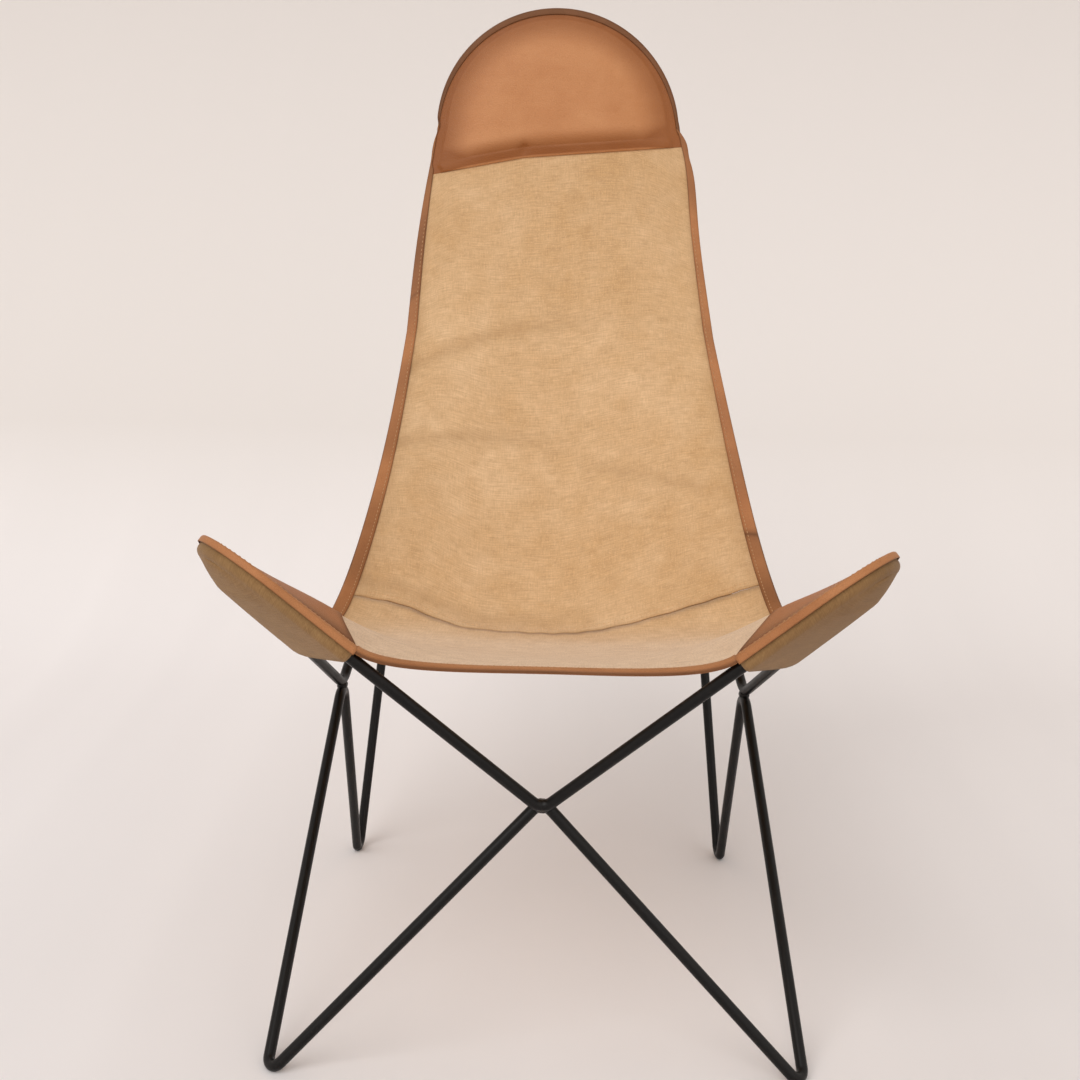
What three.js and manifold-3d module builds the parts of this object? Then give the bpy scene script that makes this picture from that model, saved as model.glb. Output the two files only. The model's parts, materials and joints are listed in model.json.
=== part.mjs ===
// Sling lounge chair: a welded frame of bent round bar carries a canvas and leather sling on three points.
// Millimetres, Z up, the chair faces -Y. Depths are measured back from the line of the front feet.
import * as THREE from 'three';
import { mergeVertices } from 'three/addons/utils/BufferGeometryUtils.js';
import Module from 'manifold-3d';

const wasm = await Module();
wasm.setup();

const deg = Math.PI / 180;
const V = (x, y, z) => new THREE.Vector3(x, y, z);

// Driving dimensions of the frame
const rod = 12;
const rodSides = 12;
const gap = 0.3;
const frontFootHalfSpan = 268;
const rearFootHalfSpan = 246;
const baseDepth = 540;
const footFlat = 0.6;
const crossSetback = 24;
const crossHeight = 283;
const crossTilt = 27 * deg;
const sideHalfSpan = 244;
const sideSetback = 368;
const sideHeight = 291;
const hornHalfSpan = 296;
const hornReach = 63;
const hornHeight = 550;
const hoopLean = 10.3 * deg;
const hoopTaper = 5.6 * deg;
const hoopHeight = 1110;
const braceHeight = 470;
const footBend = 12;
const crossBend = 13;
const sideBend = 24;
const hornBend = 55;
const weldRadius = 9;

// Driving dimensions of the sling
const canvas = 1.6;
const leather = 1.5;
const clothGap = 0.4;
const patchGap = 0.4;
const foldSlack = 0.5;
const wallSlack = 1;
const bindingWidth = 16;
const wallCover = 8;
const frontPocketLength = 92;
const rearPocketLength = 261;
const hornPocketSag = 13;
const headPocketHeight = 962;
const headPatchHeight = 926;
const frontEdgeHeight = 431;
const frontEdgeReach = 3;
const frontEdgeRun = 32;
const frontEdgeFlat = 78;
const sideEdgeRun = 121;
const sideEdgeDrop = 420;
const sideEdgeSplay = 2.9 * deg;
const sideEdgeFlare = 5;
const seatSlope = 10 * deg;
const seatRun = 122;
const dipSetback = 372;
const dipHeight = 360;
const dipFlat = 105;
const backLean = 11.5 * deg;
const backRun = 360;
const seamSetback = 345;
const seamEndAbovePocket = 78;
const seamTapeHalfWidth = 14;
const headPad = 7;
const headRim = 8;

// Layout of the sling grid, as shares of its width and length
const hornSteps = 8;
const arcSteps = 4;
const hornShare = 0.5;
const archShare = 0.75;
const pocketShare = 0.3;
const seamShare = 0.42;
const rimLine = 0.88;
const lastLevel = 0.965;
const headFadeStart = 0.55;
const flareStart = 0.78;
const patchStart = 0.15;
const patchEnd = 0.98;
const patchInset = 0.012;
const headPatchReach = 0.84;
const hairline = 0.0005;

// Sizes that follow
const rodRadius = rod / 2;
const stack = rod + 2 * gap;
const wall = rodRadius + clothGap + canvas;
const overhang = wall + canvas / 2;
const lift = rodRadius + clothGap + canvas / 2;
const hoopUp = V(0, Math.sin(hoopLean), Math.cos(hoopLean));
const hoopFront = V(0, -Math.cos(hoopLean), Math.sin(hoopLean));

const mix = (a, b, t) => a.clone().lerp(b, t);
const along = (p, d, s) => p.clone().addScaledVector(d, s);
const toward = (a, b) => b.clone().sub(a).normalize();
const mirror = (p, side) => V(p.x * side, p.y, p.z);

// Bent bar: straight runs joined by round bends

// Moves each corner out until the middle of its bend passes through the wanted crown point.
function settleCorners(corners) {
  for (let sweep = 0; sweep < 30; sweep++) {
    for (let i = 1; i < corners.length - 1; i++) {
      const c = corners[i];
      if (!c.crown) continue;
      const a = toward(c.p, corners[i - 1].p);
      const b = toward(c.p, corners[i + 1].p);
      const half = a.angleTo(b) / 2;
      const inward = a.add(b).normalize();
      c.p = along(c.crown, inward, -c.r * (1 / Math.sin(half) - 1));
    }
  }
  return corners;
}

// Stations along the bar: a point and a direction each. Bends are split evenly, straights only at their ends.
function barStations(corners, bendSteps) {
  const out = [];
  corners.forEach((c, i) => {
    if (i === 0 || i === corners.length - 1) {
      const other = corners[i === 0 ? 1 : i - 1].p;
      const dir = i === 0 ? toward(c.p, other) : toward(other, c.p);
      out.push({ p: c.p.clone(), d: dir, corner: i, middle: false });
      return;
    }
    const a = toward(c.p, corners[i - 1].p);
    const b = toward(c.p, corners[i + 1].p);
    const half = a.angleTo(b) / 2;
    const centre = along(c.p, a.clone().add(b).normalize(), c.r / Math.sin(half));
    const spoke = along(c.p, a, c.r / Math.tan(half)).sub(centre);
    const axis = a.clone().negate().cross(b).normalize();
    const steps = 2 * Math.max(2, Math.round((bendSteps * (Math.PI - 2 * half)) / Math.PI / 2));
    for (let k = 0; k <= steps; k++) {
      const turn = ((Math.PI - 2 * half) * k) / steps;
      const p = spoke.clone().applyAxisAngle(axis, turn).add(centre);
      const d = a.clone().negate().applyAxisAngle(axis, turn);
      out.push({ p, d, corner: i, middle: k === steps / 2 });
    }
  });
  return out;
}

class BarPath extends THREE.Curve {
  constructor(stations) {
    super();
    this.stations = stations;
  }
  getPoint(t) {
    return this.stations[Math.round(t * (this.stations.length - 1))].p.clone();
  }
  getTangent(t) {
    return this.stations[Math.round(t * (this.stations.length - 1))].d.clone();
  }
  getPointAt(u) {
    return this.getPoint(u);
  }
  getTangentAt(u) {
    return this.getTangent(u);
  }
  getSpacedPoints(n) {
    return this.getPoints(n);
  }
}

function signedVolume(geometry) {
  const p = geometry.getAttribute('position');
  const index = geometry.index.array;
  const [a, b, c] = [V(), V(), V()];
  let sum = 0;
  for (let i = 0; i < index.length; i += 3) {
    a.fromBufferAttribute(p, index[i]);
    b.fromBufferAttribute(p, index[i + 1]);
    c.fromBufferAttribute(p, index[i + 2]);
    sum += a.dot(b.cross(c)) / 6;
  }
  return sum;
}

// Shared corners, outward faces.
function tidy(geometry) {
  geometry.deleteAttribute('normal');
  geometry.deleteAttribute('uv');
  const merged = mergeVertices(geometry, 1e-4);
  if (signedVolume(merged) < 0) {
    const index = merged.index.array;
    for (let i = 0; i < index.length; i += 3) [index[i], index[i + 1]] = [index[i + 1], index[i]];
  }
  return merged;
}

function barGeometry(stations, radius) {
  const circle = new THREE.Shape();
  circle.absarc(0, 0, radius, 0, 2 * Math.PI);
  const options = {
    steps: stations.length - 1,
    extrudePath: new BarPath(stations),
    curveSegments: rodSides / 2,
    bevelEnabled: false,
  };
  return tidy(new THREE.ExtrudeGeometry(circle, options));
}

const toSolid = (geometry) => new wasm.Manifold(new wasm.Mesh({
  numProp: 3,
  vertProperties: new Float32Array(geometry.getAttribute('position').array),
  triVerts: new Uint32Array(geometry.index.array),
}));

function fromSolid(solid) {
  const mesh = solid.getMesh();
  const geometry = new THREE.BufferGeometry();
  geometry.setAttribute('position', new THREE.BufferAttribute(new Float32Array(mesh.vertProperties), 3));
  geometry.setIndex(new THREE.BufferAttribute(new Uint32Array(mesh.triVerts), 1));
  return geometry;
}

// Frame layout: crowns of the bends on one side, then the corners they need

const crossLap = V(0, Math.cos(crossTilt), -Math.sin(crossTilt)).multiplyScalar(stack / 2);
const crossMiddle = V(0, crossSetback, crossHeight);
const sideMiddle = V(sideHalfSpan, sideSetback, sideHeight);
const footHeight = rodRadius - footFlat;
const hoopSlope = rearFootHalfSpan / Math.tan(hoopTaper);
const hoopCrown = hoopHeight / Math.cos(hoopLean);
const archRadius = ((hoopSlope - hoopCrown) * Math.sin(hoopTaper)) / (1 - Math.sin(hoopTaper));
const hoopRoot = V(0, baseDepth, footHeight);
const hoopApex = along(hoopRoot, hoopUp, hoopSlope);

const bend = (crown, r) => ({ crown, p: crown.clone(), r });
const fixed = (p, r) => ({ crown: null, p, r });

// Lower loop: side apex, front foot, front apex and their mirror images. The back hoop joins the rear feet.
const footFront = V(frontFootHalfSpan, 0, footHeight);
const footRear = V(rearFootHalfSpan, baseDepth, footHeight);
const legApex = along(sideMiddle, V(0, 0, -1), stack / 2);
const crossApex = crossMiddle.clone().add(crossLap);
const lower = settleCorners([
  fixed(mirror(hoopApex, 1), archRadius),
  bend(mirror(footRear, -1), footBend),
  bend(mirror(legApex, -1), sideBend),
  bend(mirror(footFront, -1), footBend),
  bend(crossApex, crossBend),
  bend(footFront, footBend),
  bend(legApex, sideBend),
  bend(footRear, footBend),
  fixed(hoopApex, archRadius),
]);

// Upper loop: brace end, side valley, horn tip, front valley and their mirror images.
const hoopSide = (height) => mix(lower[7].p, hoopApex, (height - lower[7].p.z) / (hoopApex.z - lower[7].p.z));
const sideValley = along(sideMiddle, V(0, 0, 1), stack / 2);
const hornTip = V(hornHalfSpan, -hornReach, hornHeight);
const braceFoot = hoopSide(braceHeight);
const braceContact = along(braceFoot, toward(braceFoot, sideValley), rodRadius);
const crossValley = crossMiddle.clone().sub(crossLap);
const upper = settleCorners([
  fixed(mirror(braceFoot, -1), 0),
  bend(mirror(sideValley, -1), sideBend),
  bend(mirror(hornTip, -1), hornBend),
  bend(crossValley, crossBend),
  bend(hornTip, hornBend),
  bend(sideValley, sideBend),
  fixed(braceFoot, 0),
]);

// Stations between the middles of two bends, shortened so that butted ends keep their clearance.
function cutStations(corners, bendSteps, from, to) {
  const all = barStations(corners, bendSteps);
  const first = all.findIndex((s) => s.corner === from && (s.middle || from === 0));
  const last = all.findIndex((s) => s.corner === to && (s.middle || to === corners.length - 1));
  const part = all.slice(first, last + 1).map((s) => ({ p: s.p.clone(), d: s.d.clone() }));
  if (from > 0) part[0].p.addScaledVector(part[0].d, gap / 2);
  if (to < corners.length - 1) part[part.length - 1].p.addScaledVector(part[part.length - 1].d, -gap / 2);
  return part;
}

const frontLegStations = { '-1': cutStations(lower, 10, 2, 4), 1: cutStations(lower, 10, 4, 6) };
const hornStations = { '-1': cutStations(upper, 10, 0, 3), 1: cutStations(upper, 10, 3, 6) };
const hoopLoop = [lower[5], lower[6], lower[7], fixed(hoopApex, archRadius), lower[1], lower[2], lower[3]];

// The arch gets finer steps than the small bends.
function hoopStationsOf() {
  const fine = cutStations(hoopLoop, 24, 1, 5);
  const coarse = cutStations(hoopLoop, 10, 1, 5);
  const isArch = (s) => s.p.z > hoopHeight - 2 * archRadius;
  const head = coarse.findIndex(isArch);
  const tail = coarse.length - [...coarse].reverse().findIndex(isArch);
  return [...coarse.slice(0, head), ...fine.filter(isArch), ...coarse.slice(tail)];
}
const hoopStations = hoopStationsOf();

function largest(solid) {
  const pieces = solid.decompose();
  pieces.sort((a, b) => b.volume() - a.volume());
  return fromSolid(pieces[0]);
}

// Feet are ground flat where they stand on the floor.
const flatFooted = (geometry) => fromSolid(toSolid(geometry).trimByPlane([0, 0, 1], 0));

const frontLeg = (side) => flatFooted(barGeometry(frontLegStations[side], rodRadius));

// The brace end is coped to sit against the back hoop.
function hornRod(side) {
  const bar = toSolid(barGeometry(hornStations[side], rodRadius));
  return largest(bar.subtract(toSolid(barGeometry(hoopStations, rodRadius + gap))));
}
const backHoop = () => flatFooted(barGeometry(hoopStations, rodRadius));

// Weld: a round bead in the notch between bars, hollowed where the bars pass through.
function weldBead(centre, radius, bars) {
  const ball = tidy(new THREE.SphereGeometry(radius, 12, 8));
  ball.translate(centre.x, centre.y, centre.z);
  let solid = toSolid(ball);
  for (const stations of bars) solid = solid.subtract(toSolid(barGeometry(stations, rodRadius + gap)));
  return largest(solid);
}
const crossBars = [frontLegStations['-1'], frontLegStations['1'], hornStations['-1'], hornStations['1']];
const frontWeld = () => weldBead(crossMiddle, weldRadius, crossBars);
const sideWeld = (side) => weldBead(
  mirror(sideMiddle, side), weldRadius, [frontLegStations[side], hornStations[side], hoopStations]);
const braceWeld = (side) => weldBead(
  mirror(braceContact, side), weldRadius, [hornStations[side], hoopStations]);

// Pocket loops: the rod line around a horn or the head, seen from the middle of its bend outward

function pocketLoop(corner, armA, armB, radius, faceHint) {
  const dA = toward(corner, armA);
  const dB = toward(corner, armB);
  const half = dA.angleTo(dB) / 2;
  const inward = dA.clone().add(dB).normalize();
  const face = dA.clone().cross(dB).normalize();
  if (face.dot(faceHint) < 0) face.negate();
  const centre = along(corner, inward, radius / Math.sin(half));
  const crossward = dA.clone().sub(dB).normalize();
  const swing = Math.PI / 2 - half;
  // Point of the rod line and its outward direction, at a step from the tip on arm A (+1) or arm B (-1).
  const at = (arm, step, length) => {
    const turn = swing * Math.min(1, step / arcSteps);
    const outward = inward.clone().multiplyScalar(-Math.cos(turn));
    outward.addScaledVector(crossward, arm * Math.sin(turn));
    const p = along(centre, outward, radius);
    const run = Math.max(0, (step - arcSteps) / (hornSteps - arcSteps)) * length;
    p.addScaledVector(arm > 0 ? dA : dB, run);
    return { p, outward };
  };
  return { at, face };
}

const hornLoop = (side) => pocketLoop(
  mirror(upper[4].p, side), upper[3].p, mirror(upper[5].p, side), hornBend, V(0, 0, 1));
const headLoop = pocketLoop(
  hoopApex, lower[7].p, mirror(lower[7].p, -1), archRadius, hoopFront);
const headTangent = headLoop.at(1, arcSteps, 0).p;
const headPocketLength = (headTangent.z - headPocketHeight) / Math.cos(hoopLean) / Math.cos(hoopTaper);

const rightHorn = hornLoop(1);
const sheetEdge = (loop, arm, step, length) => {
  const { p, outward } = loop.at(arm, step, length);
  return along(p, outward, overhang).addScaledVector(loop.face, lift);
};

// Sling surface: ribs from side edge to side edge, sprung from the centre line

const bezier = (a, b, c, d) => new THREE.CubicBezierCurve3(a, b, c, d);
const frontCentre = V(0, -frontEdgeReach, frontEdgeHeight);
const dip = V(0, dipSetback, dipHeight);
const headMiddle = along(hoopRoot, hoopUp, (headPocketHeight - footHeight) / Math.cos(hoopLean))
  .addScaledVector(hoopFront, lift);
const crownEdge = sheetEdge(headLoop, 1, 0, 0);

const frontLeave = sheetEdge(rightHorn, 1, hornSteps, frontPocketLength);
const frontRun = toward(sheetEdge(rightHorn, 1, arcSteps, frontPocketLength), frontLeave);
const frontTurn = along(frontLeave, frontRun, frontEdgeRun);
const frontCurve = bezier(frontLeave, frontTurn, along(frontCentre, V(1, 0, 0), frontEdgeFlat), frontCentre);

const rearLeave = sheetEdge(rightHorn, -1, hornSteps, rearPocketLength);
const rearRun = toward(sheetEdge(rightHorn, -1, arcSteps, rearPocketLength), rearLeave);
const headLeave = sheetEdge(headLoop, 1, hornSteps, headPocketLength);
const headRun = toward(sheetEdge(headLoop, 1, arcSteps, headPocketLength), headLeave);
const sideFall = headRun.clone().applyAxisAngle(headLoop.face, sideEdgeSplay);
const sideTurn = along(rearLeave, rearRun, sideEdgeRun);
const sideCurve = bezier(rearLeave, sideTurn, along(headLeave, sideFall, sideEdgeDrop), headLeave);

const seatFall = V(0, Math.cos(seatSlope), -Math.sin(seatSlope));
const seatTurn = along(frontCentre, seatFall, seatRun);
const seatCurve = bezier(frontCentre, seatTurn, along(dip, V(0, -1, 0), dipFlat), dip);
const backFall = V(0, -Math.sin(backLean), -Math.cos(backLean));
const backTurn = along(headMiddle, backFall, backRun);
const backCurve = bezier(dip, along(dip, V(0, 1, 0), dipFlat), backTurn, headMiddle);

const frontStep = (u) => ((1 - Math.abs(u)) / (1 - hornShare)) * hornSteps;
const rearStep = (v) => (v / pocketShare) * hornSteps;
const frontEdge = (u) => {
  const a = Math.abs(u);
  const p = a >= hornShare
    ? sheetEdge(rightHorn, 1, frontStep(u), frontPocketLength)
    : frontCurve.getPointAt(1 - a / hornShare);
  return V(p.x * Math.sign(u || 1), p.y, p.z);
};

const archStep = (u) => {
  const a = Math.abs(u);
  if (a < archShare) return (arcSteps * a) / archShare;
  return arcSteps + ((hornSteps - arcSteps) * (a - archShare)) / (1 - archShare);
};
const archEdge = (u) => {
  const p = sheetEdge(headLoop, 1, archStep(u), headPocketLength);
  return V(p.x * Math.sign(u || 1), p.y, p.z);
};

// The free edge bows out where it leaves the head pocket.
const flare = (v) => Math.sin(Math.PI * Math.max(0, (v - flareStart) / (1 - flareStart)));
const seamOnSide = seamEndAbovePocket / sideCurve.getLength();
const sideEdge = (v) => {
  if (v <= pocketShare) return sheetEdge(rightHorn, -1, rearStep(v), rearPocketLength);
  const below = (v - pocketShare) / (seamShare - pocketShare);
  if (v <= seamShare) return sideCurve.getPointAt(seamOnSide * below);
  const beyond = (v - seamShare) / (1 - seamShare);
  const p = sideCurve.getPointAt(Math.min(1, seamOnSide + (1 - seamOnSide) * beyond));
  return along(p, V(1, 0, 0), sideEdgeFlare * flare(v));
};

// Centre line as one length: seat, dip, back, head.
const seatLength = seatCurve.getLength();
const backLength = backCurve.getLength();
const headLength = headMiddle.distanceTo(crownEdge);
const centreAt = (s) => {
  if (s <= seatLength) return seatCurve.getPointAt(Math.max(0, s / seatLength));
  if (s <= seatLength + backLength) return backCurve.getPointAt((s - seatLength) / backLength);
  return mix(headMiddle, crownEdge, Math.min(1, (s - seatLength - backLength) / headLength));
};
const seamAlong = seatLength - (dipSetback - seamSetback);
const centreLine = (v) => {
  const total = seatLength + backLength + headLength;
  if (v <= seamShare) return centreAt((seamAlong * v) / seamShare);
  return centreAt(seamAlong + ((total - seamAlong) * (v - seamShare)) / (1 - seamShare));
};

const rib = (u, edge, centre) => {
  const p = centre.clone().multiplyScalar(1 - u * u).addScaledVector(edge, u * u);
  p.x = edge.x * u;
  return p;
};
const frontFade = (v) => Math.max(0, 1 - v / seamShare) ** 2;
const headFade = (v) => Math.max(0, (v - headFadeStart) / (1 - headFadeStart)) ** 3;

function sling(u, v) {
  const p = rib(u, sideEdge(v), centreLine(v));
  const front = frontEdge(u).sub(rib(u, sideEdge(0), centreLine(0)));
  const head = archEdge(u).sub(rib(u, sideEdge(1), centreLine(1)));
  return p.addScaledVector(front, frontFade(v)).addScaledVector(head, headFade(v));
}

// Upper side of the sheet, taken a little inside the rim.
function slingNormal(u, v) {
  const a = Math.max(-0.98, Math.min(0.98, u));
  const b = Math.max(0.015, Math.min(0.985, v));
  const du = sling(a + 0.01, b).sub(sling(a - 0.01, b));
  const dv = sling(a, b + 0.01).sub(sling(a, b - 0.01));
  return du.cross(dv).normalize();
}

// Sheets: a grid of points becomes a closed layer between two offsets

function weldGrid(rows) {
  const points = [];
  const seen = new Map();
  const faces = [];
  const id = (p) => {
    const key = [p.x, p.y, p.z].map((c) => Math.round(c * 1000)).join(',');
    if (!seen.has(key)) {
      seen.set(key, points.length);
      points.push(p);
    }
    return seen.get(key);
  };
  const ids = rows.map((row) => row.map(id));
  const face = (a, b, c) => {
    if (a !== b && b !== c && a !== c) faces.push([a, b, c]);
  };
  // Each cell is split along its shorter diagonal.
  for (let i = 0; i + 1 < ids.length; i++) {
    for (let j = 0; j + 1 < ids[i].length; j++) {
      const [a, b, c, d] = [ids[i][j], ids[i][j + 1], ids[i + 1][j + 1], ids[i + 1][j]];
      if (points[a].distanceTo(points[c]) < points[b].distanceTo(points[d]) + 1e-3) {
        face(a, b, c);
        face(a, c, d);
      } else {
        face(a, b, d);
        face(b, c, d);
      }
    }
  }
  return { points, faces, ids };
}

function meshGeometry(points, faces) {
  const geometry = new THREE.BufferGeometry();
  const flat = new Float32Array(points.length * 3);
  points.forEach((p, i) => p.toArray(flat, i * 3));
  geometry.setAttribute('position', new THREE.BufferAttribute(flat, 3));
  geometry.setIndex(faces.flat());
  return tidy(geometry);
}

// Layer of cloth or leather between two offsets along the sheet's own face, numbers or functions of a point.
function layer(rows, low, high) {
  const { points, faces } = weldGrid(rows);
  const normals = points.map(() => V(0, 0, 0));
  for (const [a, b, c] of faces) {
    const n = points[b].clone().sub(points[a]).cross(points[c].clone().sub(points[a]));
    for (const i of [a, b, c]) normals[i].add(n);
  }
  normals.forEach((n) => n.normalize());
  const offset = (o, p) => (typeof o === 'function' ? o(p) : o);
  const top = points.map((p, i) => along(p, normals[i], offset(high, p)));
  const bottom = points.map((p, i) => along(p, normals[i], offset(low, p)));
  const n = points.length;
  const all = [];
  const edges = new Set();
  for (const [a, b, c] of faces) {
    all.push([a, b, c], [c + n, b + n, a + n]);
    for (const e of [[a, b], [b, c], [c, a]]) edges.add(e.join(','));
  }
  for (const key of edges) {
    const [a, b] = key.split(',').map(Number);
    if (!edges.has(`${b},${a}`)) all.push([b, a, a + n], [b, a + n, b + n]);
  }
  return meshGeometry([...top, ...bottom], all);
}

// Strip swept from rings of equal length, closed at both ends by a fan of its own section.
function strip(rings) {
  const size = rings[0].length;
  const { points, faces, ids } = weldGrid(rings.map((ring) => [...ring, ring[0]]));
  const pairs = size / 2;
  for (const [row, flip] of [[ids[0], false], [ids[ids.length - 1], true]]) {
    for (let k = 0; k + 1 < pairs; k++) {
      const quad = [row[k], row[k + 1], row[size - 2 - k], row[size - 1 - k]];
      if (flip) quad.reverse();
      faces.push([quad[2], quad[1], quad[0]], [quad[3], quad[2], quad[0]]);
    }
  }
  return meshGeometry(points, faces);
}

// Grid lines across and along the sling. The line next to the rim lies one binding width inside it.

const range = (n) => [...Array(n + 1).keys()];
const spread = (from, to, n) => range(n).map((k) => from + ((to - from) * k) / n);

function shareInside(pointAt, width) {
  const rim = pointAt(0);
  let low = 0;
  let high = 0.2;
  for (let i = 0; i < 30; i++) {
    const mid = (low + high) / 2;
    if (pointAt(mid).distanceTo(rim) < width) low = mid;
    else high = mid;
  }
  return low;
}
const sideInset = (v) => 1 - shareInside((t) => sling(1 - t, v), bindingWidth);
const frontInset = (u) => shareInside((t) => sling(u, t), bindingWidth);
const headInset = (u) => 1 - shareInside((t) => sling(u, 1 - t), headRim);

const bendLine = 1 - ((1 - hornShare) * arcSteps) / hornSteps;
const hornLines = [...spread(hornShare, bendLine, 4).slice(1), ...spread(bendLine, rimLine, 2).slice(1)];
const innerLines = [...spread(0, hornShare, 6), ...hornLines];
function row(v) {
  const half = [...innerLines, sideInset(v(1)), 1];
  const whole = [...half.slice(1).map((u) => -u).reverse(), ...half];
  return whole.map((u) => [u, v(Math.abs(u))]);
}
const level = (v) => () => v;
const bendLevel = (pocketShare * arcSteps) / hornSteps;
const hornLevels = [...spread(bendLevel / 3, bendLevel, 3), ...spread(bendLevel, pocketShare, 3).slice(1)];
const seatLevels = [...hornLevels, ...spread(pocketShare, seamShare - hairline, 4).slice(1)];
const seatGrid = [level(0), frontInset, ...seatLevels.map(level)].map(row);
const backGrid = [...spread(seamShare + hairline, lastLevel, 18).map(level), headInset, level(1)].map(row);
const onSling = (grid) => grid.map((line) => line.map(([u, v]) => sling(u, v)));
const lastColumn = seatGrid[0].length - 1;
const column = (side, j) => (side > 0 ? j : lastColumn - j);
const pocketRow = seatGrid.findIndex((line) => line[0][1] === pocketShare);
const leaveColumn = seatGrid[0].findIndex(([u]) => Math.abs(u - hornShare) < 1e-6);

const seatPanel = () => layer(onSling(seatGrid), -canvas / 2, canvas / 2);
const backPanel = () => layer(onSling(backGrid), -canvas / 2, canvas / 2);

// Reinforcing tape under the seam of seat and back.
function seamTape() {
  const half = (seamTapeHalfWidth * seamShare) / seatLength;
  const columns = innerLines.slice(1).map((u) => -u).reverse().concat(innerLines);
  const rows = [seamShare - half, seamShare, seamShare + half].map((v) => columns.map((u) => sling(u, v)));
  return layer(rows, -canvas / 2 - 2 * clothGap - leather, -canvas / 2 - 2 * clothGap);
}

// Pocket: a wall round the outside of the rod and a sagging back plate under it, open at the mouth.
function pocket(loop, lengthA, lengthB, arcParts, straightParts, sag) {
  const wallTop = lift - canvas / 2 - clothGap;
  const section = (arm, step, length) => {
    const { p, outward } = loop.at(arm, step, length);
    const point = (out, up) => along(p, outward, out).addScaledVector(loop.face, up);
    return [point(wall, wallTop), point(wall, 0), point(wall * 0.8, -lift * 0.72), point(0.3 * wall, -lift)];
  };
  const steps = [...spread(0, arcSteps, arcParts), ...spread(arcSteps, hornSteps, straightParts).slice(1)];
  const rows = steps.map((step) => {
    const a = section(1, step, lengthA);
    const b = section(-1, step, lengthB);
    const slack = sag * Math.min(1, step / arcSteps);
    const rungs = [0.25, 0.5, 0.75].map((t) => mix(a[3], b[3], t)
      .addScaledVector(loop.face, -slack * Math.sin(Math.PI * t)));
    return [...a, ...rungs, ...b.reverse()];
  });
  return layer(rows, -canvas / 2, canvas / 2);
}
const hornPocket = (side) => pocket(hornLoop(side), frontPocketLength, rearPocketLength, 5, 3, hornPocketSag);
const headPocket = () => pocket(headLoop, headPocketLength, headPocketLength, 9, 2, 0);

// Bindings

const skin = canvas / 2 + clothGap;
const place = ([u, v]) => ({ p: sling(u, v), n: slingNormal(u, v) });
const raised = (at, up) => along(at.p, at.n, up);

// Binding folded round a single layer of cloth: upper leg, rolled rim, lower leg.
function foldedRing(rimShare, innerShare) {
  const rim = place(rimShare);
  const inner = place(innerShare);
  const out = toward(inner.p, rim.p);
  const edge = { p: along(rim.p, out, 2 * clothGap), n: rim.n };
  const nose = { p: along(rim.p, out, 2 * clothGap + leather), n: rim.n };
  const open = skin + foldSlack;
  return [
    raised(inner, open + leather), raised(edge, open + leather), raised(nose, open / 2),
    raised(nose, -open / 2), raised(edge, -open - leather), raised(inner, -open - leather),
    raised(inner, -open), raised(edge, -open), raised(edge, -open / 2),
    raised(edge, open / 2), raised(edge, open), raised(inner, open),
  ];
}

// Binding over a pocket rim: one leg on the sheet, the other down the outside of the pocket wall.
function rimRing(rimShare, inner, outward, face) {
  const rim = sling(...rimShare);
  const near = { p: along(rim, outward, wallSlack), n: face };
  const far = { p: along(rim, outward, wallSlack + leather), n: face };
  return [
    raised(inner, skin + leather), raised(far, skin + leather), raised(far, -wallCover),
    raised(near, -wallCover), raised(near, skin), raised(inner, skin),
  ];
}

// Draws both end rings in, so that the next strip can butt against this one.
function butted(rings, endGap = 2 * clothGap) {
  const pull = (ring, next, by) => ring.map((p, i) => along(p, toward(p, next[i]), by));
  const last = rings.length - 1;
  const first = pull(rings[0], rings[1], 2 * clothGap);
  return [first, ...rings.slice(1, last), pull(rings[last], rings[last - 1], endGap)];
}

function frontBinding() {
  const columns = spread(lastColumn - leaveColumn, leaveColumn, 2 * leaveColumn - lastColumn);
  return strip(butted(columns.map((j) => foldedRing(seatGrid[0][j], seatGrid[1][j]))));
}

function sideBinding(side) {
  const lines = [...seatGrid.slice(pocketRow), ...backGrid.slice(1)];
  const rings = lines.map((line, i) => {
    const innerLine = lines[Math.min(i, lines.length - 3)];
    return foldedRing(line[column(side, lastColumn)], innerLine[column(side, lastColumn - 1)]);
  });
  return strip(butted(rings, canvas + leather));
}

function hornBinding(side) {
  const loop = hornLoop(side);
  const frontRings = range(lastColumn).slice(leaveColumn).map((j) => {
    const rim = seatGrid[0][column(side, j)];
    const inner = place(seatGrid[1][column(side, Math.min(j, lastColumn - 1))]);
    return rimRing(rim, inner, loop.at(1, frontStep(rim[0]), 0).outward, loop.face);
  });
  const rearRings = range(pocketRow).slice(1).map((i) => {
    const rim = seatGrid[i][column(side, lastColumn)];
    const inner = place(seatGrid[i][column(side, lastColumn - 1)]);
    return rimRing(rim, inner, loop.at(-1, rearStep(rim[1]), 0).outward, loop.face);
  });
  return strip(butted([...frontRings, ...rearRings]));
}

// The head's binding lies flat in the plane of its rim.
function headBinding() {
  const last = backGrid.length - 1;
  const face = headLoop.face;
  const rings = backGrid[last].map((rim, j) => {
    const sheet = sling(...backGrid[last - 1][Math.max(1, Math.min(lastColumn - 1, j))]);
    const inner = { p: along(sheet, face, sling(...rim).sub(sheet).dot(face)), n: face };
    const { outward } = headLoop.at(Math.sign(rim[0] || 1), archStep(rim[0]), 0);
    return rimRing(rim, inner, outward, face);
  });
  return strip(butted(rings));
}

// Leather patches

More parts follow.
